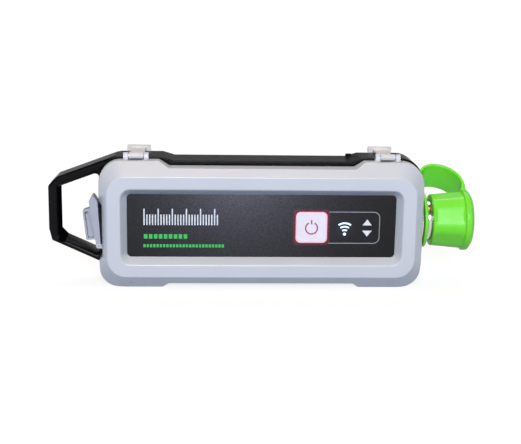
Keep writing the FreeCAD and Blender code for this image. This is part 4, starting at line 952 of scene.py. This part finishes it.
@dataclass
class DustCap(Assembly):
    """Green rubber cap, with the ring in the port's neck and the strap that joins them."""

    soft: tuple[SoftSolid, ...] = (
        SoftSolid("tether_ring", "tether_ring_band", Look.RUBBER, "tether", "rubber_green", 0.5),)
    axis: Pair = (-4.4993, 44.8)
    lean: float = 52.0
    mouth: float = 123.0
    end: float = 153.6
    end_r: float = 9.0
    bore: float = 14.8
    bore_end: float = 142.6
    open_r: float = 18.7
    body_r: float = 20.8
    flange_r: float = 22.2
    flange: float = 146.4
    crown: float = 151.0
    flats: int = 6
    flat_share: float = 0.945
    flat_blend: float = 0.7
    flat_fade: float = 2.0
    tab: Pair = (148.6, 151.0)
    tab_r: float = 25.0
    tab_spread: float = 60.0
    tab_blend: float = 1.2
    tab_fade: Pair = (2.2, 1.6)
    ring_x: float = 116.5
    strap_width: float = 25.0
    strap_t: float = 2.3
    strap_edge: float = 0.9
    strap_foot: float = 21.5
    strap_rise: float = 35.0
    strap_knee: Pair = (3.6, 39.9)
    strap_crest: Pair = (12.0, 44.8)
    strap_bends: Pair = (14.2, 21.4)
    strap_land: float = 22.4
    around: int = 144
    step: float = 0.8

    def build(self) -> None:
        """Mould the ring, the cap and the strap, which bends between them."""
        super().build()
        self.keep(self.cap(), Look.RUBBER, "cap", "rubber_green", "dust_cap")
        strap = self.strap()
        self.keep(strap, Look.RUBBER, "", "rubber_green", "tether_strap")
        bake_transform(strap)

    def radius(self, x: float, radius: float, turn: float) -> float:
        """Shape the cap's skin: finger flats on the barrel and the strap's tab on the flange.

        Args:
            x: place along the axis.
            radius: the turned radius there.
            turn: angle from +Z towards +Y.

        Returns:
            The radius at that angle.
        """
        lean = math.radians(self.lean)
        if x < self.flange - 0.3 and radius > self.bore + 1.0:
            step = 2 * math.pi / self.flats
            off = (turn - lean + step / 2) % step - step / 2
            flat = soft_least(radius, self.flat_share * radius / math.cos(off), self.flat_blend)
            eased = ease((x - self.mouth - 0.6) / self.flat_fade)
            return radius + (flat - radius) * eased * ease((self.flange - 0.3 - x) / self.flat_fade)
        off = abs((turn - lean + math.pi) % (2 * math.pi) - math.pi)
        if x > self.flange and radius > self.flange_r - 4.0 and off < math.radians(self.tab_spread):
            tab = self.tab_r / math.cos(off)
            if off > 0.05:
                tab = soft_least(tab, self.strap_width / 2 / math.sin(off), self.tab_blend)
            rise, fall = self.tab_fade
            near = ease((x - self.flange) / rise) * (1 - ease((x - self.tab[1] + 0.4) / fall))
            return radius + max(0.0, tab - self.flange_r) * near
        return radius

    def cap(self) -> Piece:
        """Mould the cap, with a rounded mouth, a flange and a domed end.

        Returns:
            The cap.
        """
        # Each corner is (x, radius, how much it is rounded).
        profile = rounded([
            (self.bore_end, 0.0, 0), (self.bore_end, self.bore, 0.8), (self.mouth, self.bore, 0.7),
            (self.mouth, self.open_r, 0.9), (self.flange - 0.8, self.body_r, 0.5),
            (self.flange + 0.1, self.flange_r, 0.9), (self.crown - 1.0, self.flange_r, 1.2),
            (self.crown + 1.4, self.flange_r - 3.4, 3.0), (self.end, self.end_r, 9.0), (self.end, 0.0, 0)])
        dense: Line = [profile[0]]
        for (xa, ra), (xb, rb) in zip(profile, profile[1:]):
            parts = max(1, int(math.hypot(xb - xa, rb - ra) / self.step))
            dense += [(xa + (xb - xa) * i / parts, ra + (rb - ra) * i / parts) for i in range(1, parts + 1)]
        return finished(lathe(dense, self.axis, self.around, self.radius), "dust_cap_shell", sharp=40)

    def strap_line(self) -> list[tuple[Vector, Vector]]:
        """Lay the middle line of the strap: up from the ring, over a crest and down to the tab.

        Returns:
            Points in X and radius, each with the outward direction.
        """
        half = self.strap_t / 2
        x0 = self.ring_x + half
        knee_x, knee_r = self.strap_knee
        knots = rounded([(x0, self.strap_foot, 0), (x0, self.strap_rise, 5.0), (x0 + knee_x, knee_r, 4.0)], 8)
        crest_x, crest_r = x0 + self.strap_crest[0], self.strap_crest[1]
        for bend, start, end, parts in ((self.strap_bends[0], 128, 90, 8), (self.strap_bends[1], 88, 4, 24)):
            turns = [math.radians(start - (start - end) * i / parts) for i in range(parts + 1)]
            knots += [(crest_x + (bend - half) * math.cos(t), crest_r - bend + (bend - half) * math.sin(t))
                      for t in turns]
        knots.append((knots[-1][0] + 0.05, self.strap_land))
        points = [Vector(k) for k in knots]
        for _ in range(3):
            points[1:-1] = [(a + 2 * b + c) / 4 for a, b, c in zip(points, points[1:], points[2:])]
        line = []
        for i, here in enumerate(points):
            along = (points[min(i + 1, len(points) - 1)] - points[max(i - 1, 0)]).normalized()
            line.append((here, Vector((-along.y, along.x))))
        return line

    def strap(self) -> Piece:
        """Mould the broad strap, with rounded edges.

        Returns:
            The strap.
        """
        form = bmesh.new()
        lean = math.radians(self.lean)
        out, side = Vector((0, math.sin(lean), math.cos(lean))), Vector((0, math.cos(lean), -math.sin(lean)))
        centre = Vector((0, *self.axis))
        w, t, edge = self.strap_width / 2, self.strap_t / 2, self.strap_edge
        section = rounded([(0, t, 0), (w, t, edge), (w, -t, edge), (-w, -t, edge), (-w, t, edge),
                           (0, t, 0)], steps=4)[:-1]
        rings = []
        for here, away in self.strap_line():
            ring = []
            for across, up in section:
                x, r = here.x + away.x * up, here.y + away.y * up
                ring.append(form.verts.new(Vector((x, 0, 0)) + centre + out * r + side * across))
            rings.append(ring)
        skin(form, rings, True)
        return finished(form, "tether_strap_band", sharp=45)


# ---- stage, light and camera

@dataclass
class Lamp:
    """A soft box: where it stands, its size in metres, power and colour."""

    name: str
    place: Triple
    size: float
    power: float
    colour: str


@dataclass
class Studio:
    """Pale floor, plain surroundings, soft lamps and the camera. Lengths in metres."""

    floor_half: float = 6.0
    floor_tone: str = "5C7395"
    floor_glow: float = 0.8
    glow_fade: Pair = (0.4, 2.0)
    shade_tone: float = 0.3
    ambient: float = 0.1
    rear_wall: float = 2.3
    rear_fade: Pair = (0.1, 0.9)
    ceiling: float = 0.06
    ceiling_fade: Pair = (0.0, 0.22)
    lamps: tuple[Lamp, ...] = (
        Lamp("top_softbox", (-0.15, -0.3, 1.5), 0.8, 4.5, "FFD696"),
        Lamp("front_softbox", (-0.06, -1.75, 0.8), 0.6, 33.8, "EFF4FF"),
        Lamp("back_softbox", (0.1, 1.05, 1.5), 0.8, 10.0, "F8F9FF"))
    aim: Triple = (0.0, 0.0, 0.045)
    eye: Triple = (-0.0417, -0.7887, 0.2193)
    look: Triple = (0.0502, 0.9743, -0.2198)
    roll: float = 0.92
    lens: float = 76.0
    sensor: float = 36.0
    near: float = 0.01

    def build(self) -> None:
        """Set up everything round the instrument."""
        self.floor()
        self.world()
        for lamp in self.lamps:
            self.lamp(lamp)
        self.camera()
        bpy.context.scene.view_settings.view_transform = "Standard"

    def seen(self, tree: Tree) -> Socket:
        """Tell which rays see the stage as it is shown.

        Args:
            tree: shader nodes.

        Returns:
            1 for rays from the camera and for mirror and glass rays, else 0.
        """
        rays = node(tree, "ShaderNodeLightPath")
        either = node(tree, "ShaderNodeMath", {
            0: rays.outputs["Is Camera Ray"], 1: rays.outputs["Is Glossy Ray"]}, operation="MAXIMUM")
        return node(tree, "ShaderNodeMath", {
            0: either, 1: rays.outputs["Is Transmission Ray"]}, operation="MAXIMUM").outputs[0]

    def floor(self) -> None:
        """Matte pale floor that reads white and keeps a faint shadow."""
        form = bmesh.new()
        bmesh.ops.create_grid(form, x_segments=1, y_segments=1, size=self.floor_half / MM)
        piece = finished(form, "floor")
        material = bpy.data.materials.new("studio_floor_paint")
        material.use_nodes = True
        tree = material.node_tree
        tree.nodes.clear()
        paint = node(tree, "ShaderNodeBsdfDiffuse", {"Color": linear(self.floor_tone)})
        faint = node(tree, "ShaderNodeBsdfDiffuse", {"Color": (self.shade_tone,) * 3 + (1.0,)})
        place = node(tree, "ShaderNodeTexCoord").outputs["Object"]
        away = node(tree, "ShaderNodeVectorMath", {0: place}, operation="LENGTH")
        level = node(tree, "ShaderNodeMapRange", {
            "Value": away.outputs["Value"], "From Min": self.glow_fade[0], "From Max": self.glow_fade[1],
            "To Min": self.floor_glow}, **SMOOTH)
        glow = node(tree, "ShaderNodeEmission", {"Strength": level})
        shown = node(tree, "ShaderNodeAddShader", {0: faint, 1: glow})
        mixed = node(tree, "ShaderNodeMixShader", {0: self.seen(tree), 1: paint, 2: shown})
        node(tree, "ShaderNodeOutputMaterial", {"Surface": mixed})
        piece.data.materials.append(material)

    def world(self) -> None:
        """Surroundings white where they are seen, a dim ceiling for mirror rays, a pale wall behind."""
        world = bpy.data.worlds.new("studio")
        world.use_nodes = True
        tree = world.node_tree
        tree.nodes.clear()
        way = node(tree, "ShaderNodeSeparateXYZ", {0: node(tree, "ShaderNodeTexCoord").outputs["Generated"]})
        mirrored = node(tree, "ShaderNodeMapRange", {
            "Value": way.outputs[2], "From Min": self.ceiling_fade[0], "From Max": self.ceiling_fade[1],
            "To Min": 1.0, "To Max": self.ceiling}, **SMOOTH)
        rays = node(tree, "ShaderNodeLightPath")
        direct = node(tree, "ShaderNodeMath", {
            0: rays.outputs["Is Camera Ray"], 1: mirrored}, operation="MAXIMUM")
        behind = node(tree, "ShaderNodeMath", {0: way.outputs[1], 1: way.outputs[2]}, operation="SUBTRACT")
        even = node(tree, "ShaderNodeMapRange", {
            "Value": behind, "From Min": self.rear_fade[0], "From Max": self.rear_fade[1],
            "To Min": self.ambient, "To Max": self.rear_wall}, **SMOOTH)
        strength = node(tree, "ShaderNodeMapRange", {
            "Value": self.seen(tree), "To Min": even, "To Max": direct})
        sky = node(tree, "ShaderNodeBackground", {"Color": (1.0, 1.0, 1.0, 1.0), "Strength": strength})
        node(tree, "ShaderNodeOutputWorld", {"Surface": sky})
        bpy.context.scene.world = world

    def lamp(self, lamp: Lamp) -> None:
        """Hang one soft box, facing the instrument.

        Args:
            lamp: its place, size, power and colour.
        """
        light = bpy.data.lights.new(lamp.name, "AREA")
        light.shape, light.size, light.energy = "SQUARE", lamp.size, lamp.power
        light.color = linear(lamp.colour)[:3]
        holder = bpy.data.objects.new(lamp.name, light)
        turn = (Vector(self.aim) - Vector(lamp.place)).to_track_quat("-Z", "Y")
        holder.matrix_world = Matrix.Translation(lamp.place) @ turn.to_matrix().to_4x4()
        bpy.context.scene.collection.objects.link(holder)

    def camera(self) -> None:
        """Camera in front, a little to the left and above."""
        data = bpy.data.cameras.new("camera")
        data.lens, data.sensor_width, data.sensor_fit = self.lens, self.sensor, "HORIZONTAL"
        data.clip_start = self.near
        ahead = Vector(self.look).normalized()
        right = ahead.cross(Vector((0, 0, 1))).normalized()
        up = right.cross(ahead)
        turn = math.radians(self.roll)
        right, up = right * math.cos(turn) + up * math.sin(turn), up * math.cos(turn) - right * math.sin(turn)
        axes = Matrix((right, up, -ahead)).transposed().to_4x4()
        holder = bpy.data.objects.new("camera", data)
        holder.matrix_world = Matrix.Translation(self.eye) @ axes
        bpy.context.scene.collection.objects.link(holder)
        bpy.context.scene.camera = holder


def main() -> None:
    """Build the studio and every sub-assembly in order."""
    logging.basicConfig(level=logging.INFO, format="%(message)s")
    Studio().build()
    looks = {look: look.value.build() for look in Look}
    for part in (Housing, Latches, Electronics, PortDoor, Panel, TestPort, DustCap):
        part(looks).build()


if __name__ == "__main__":
    main()
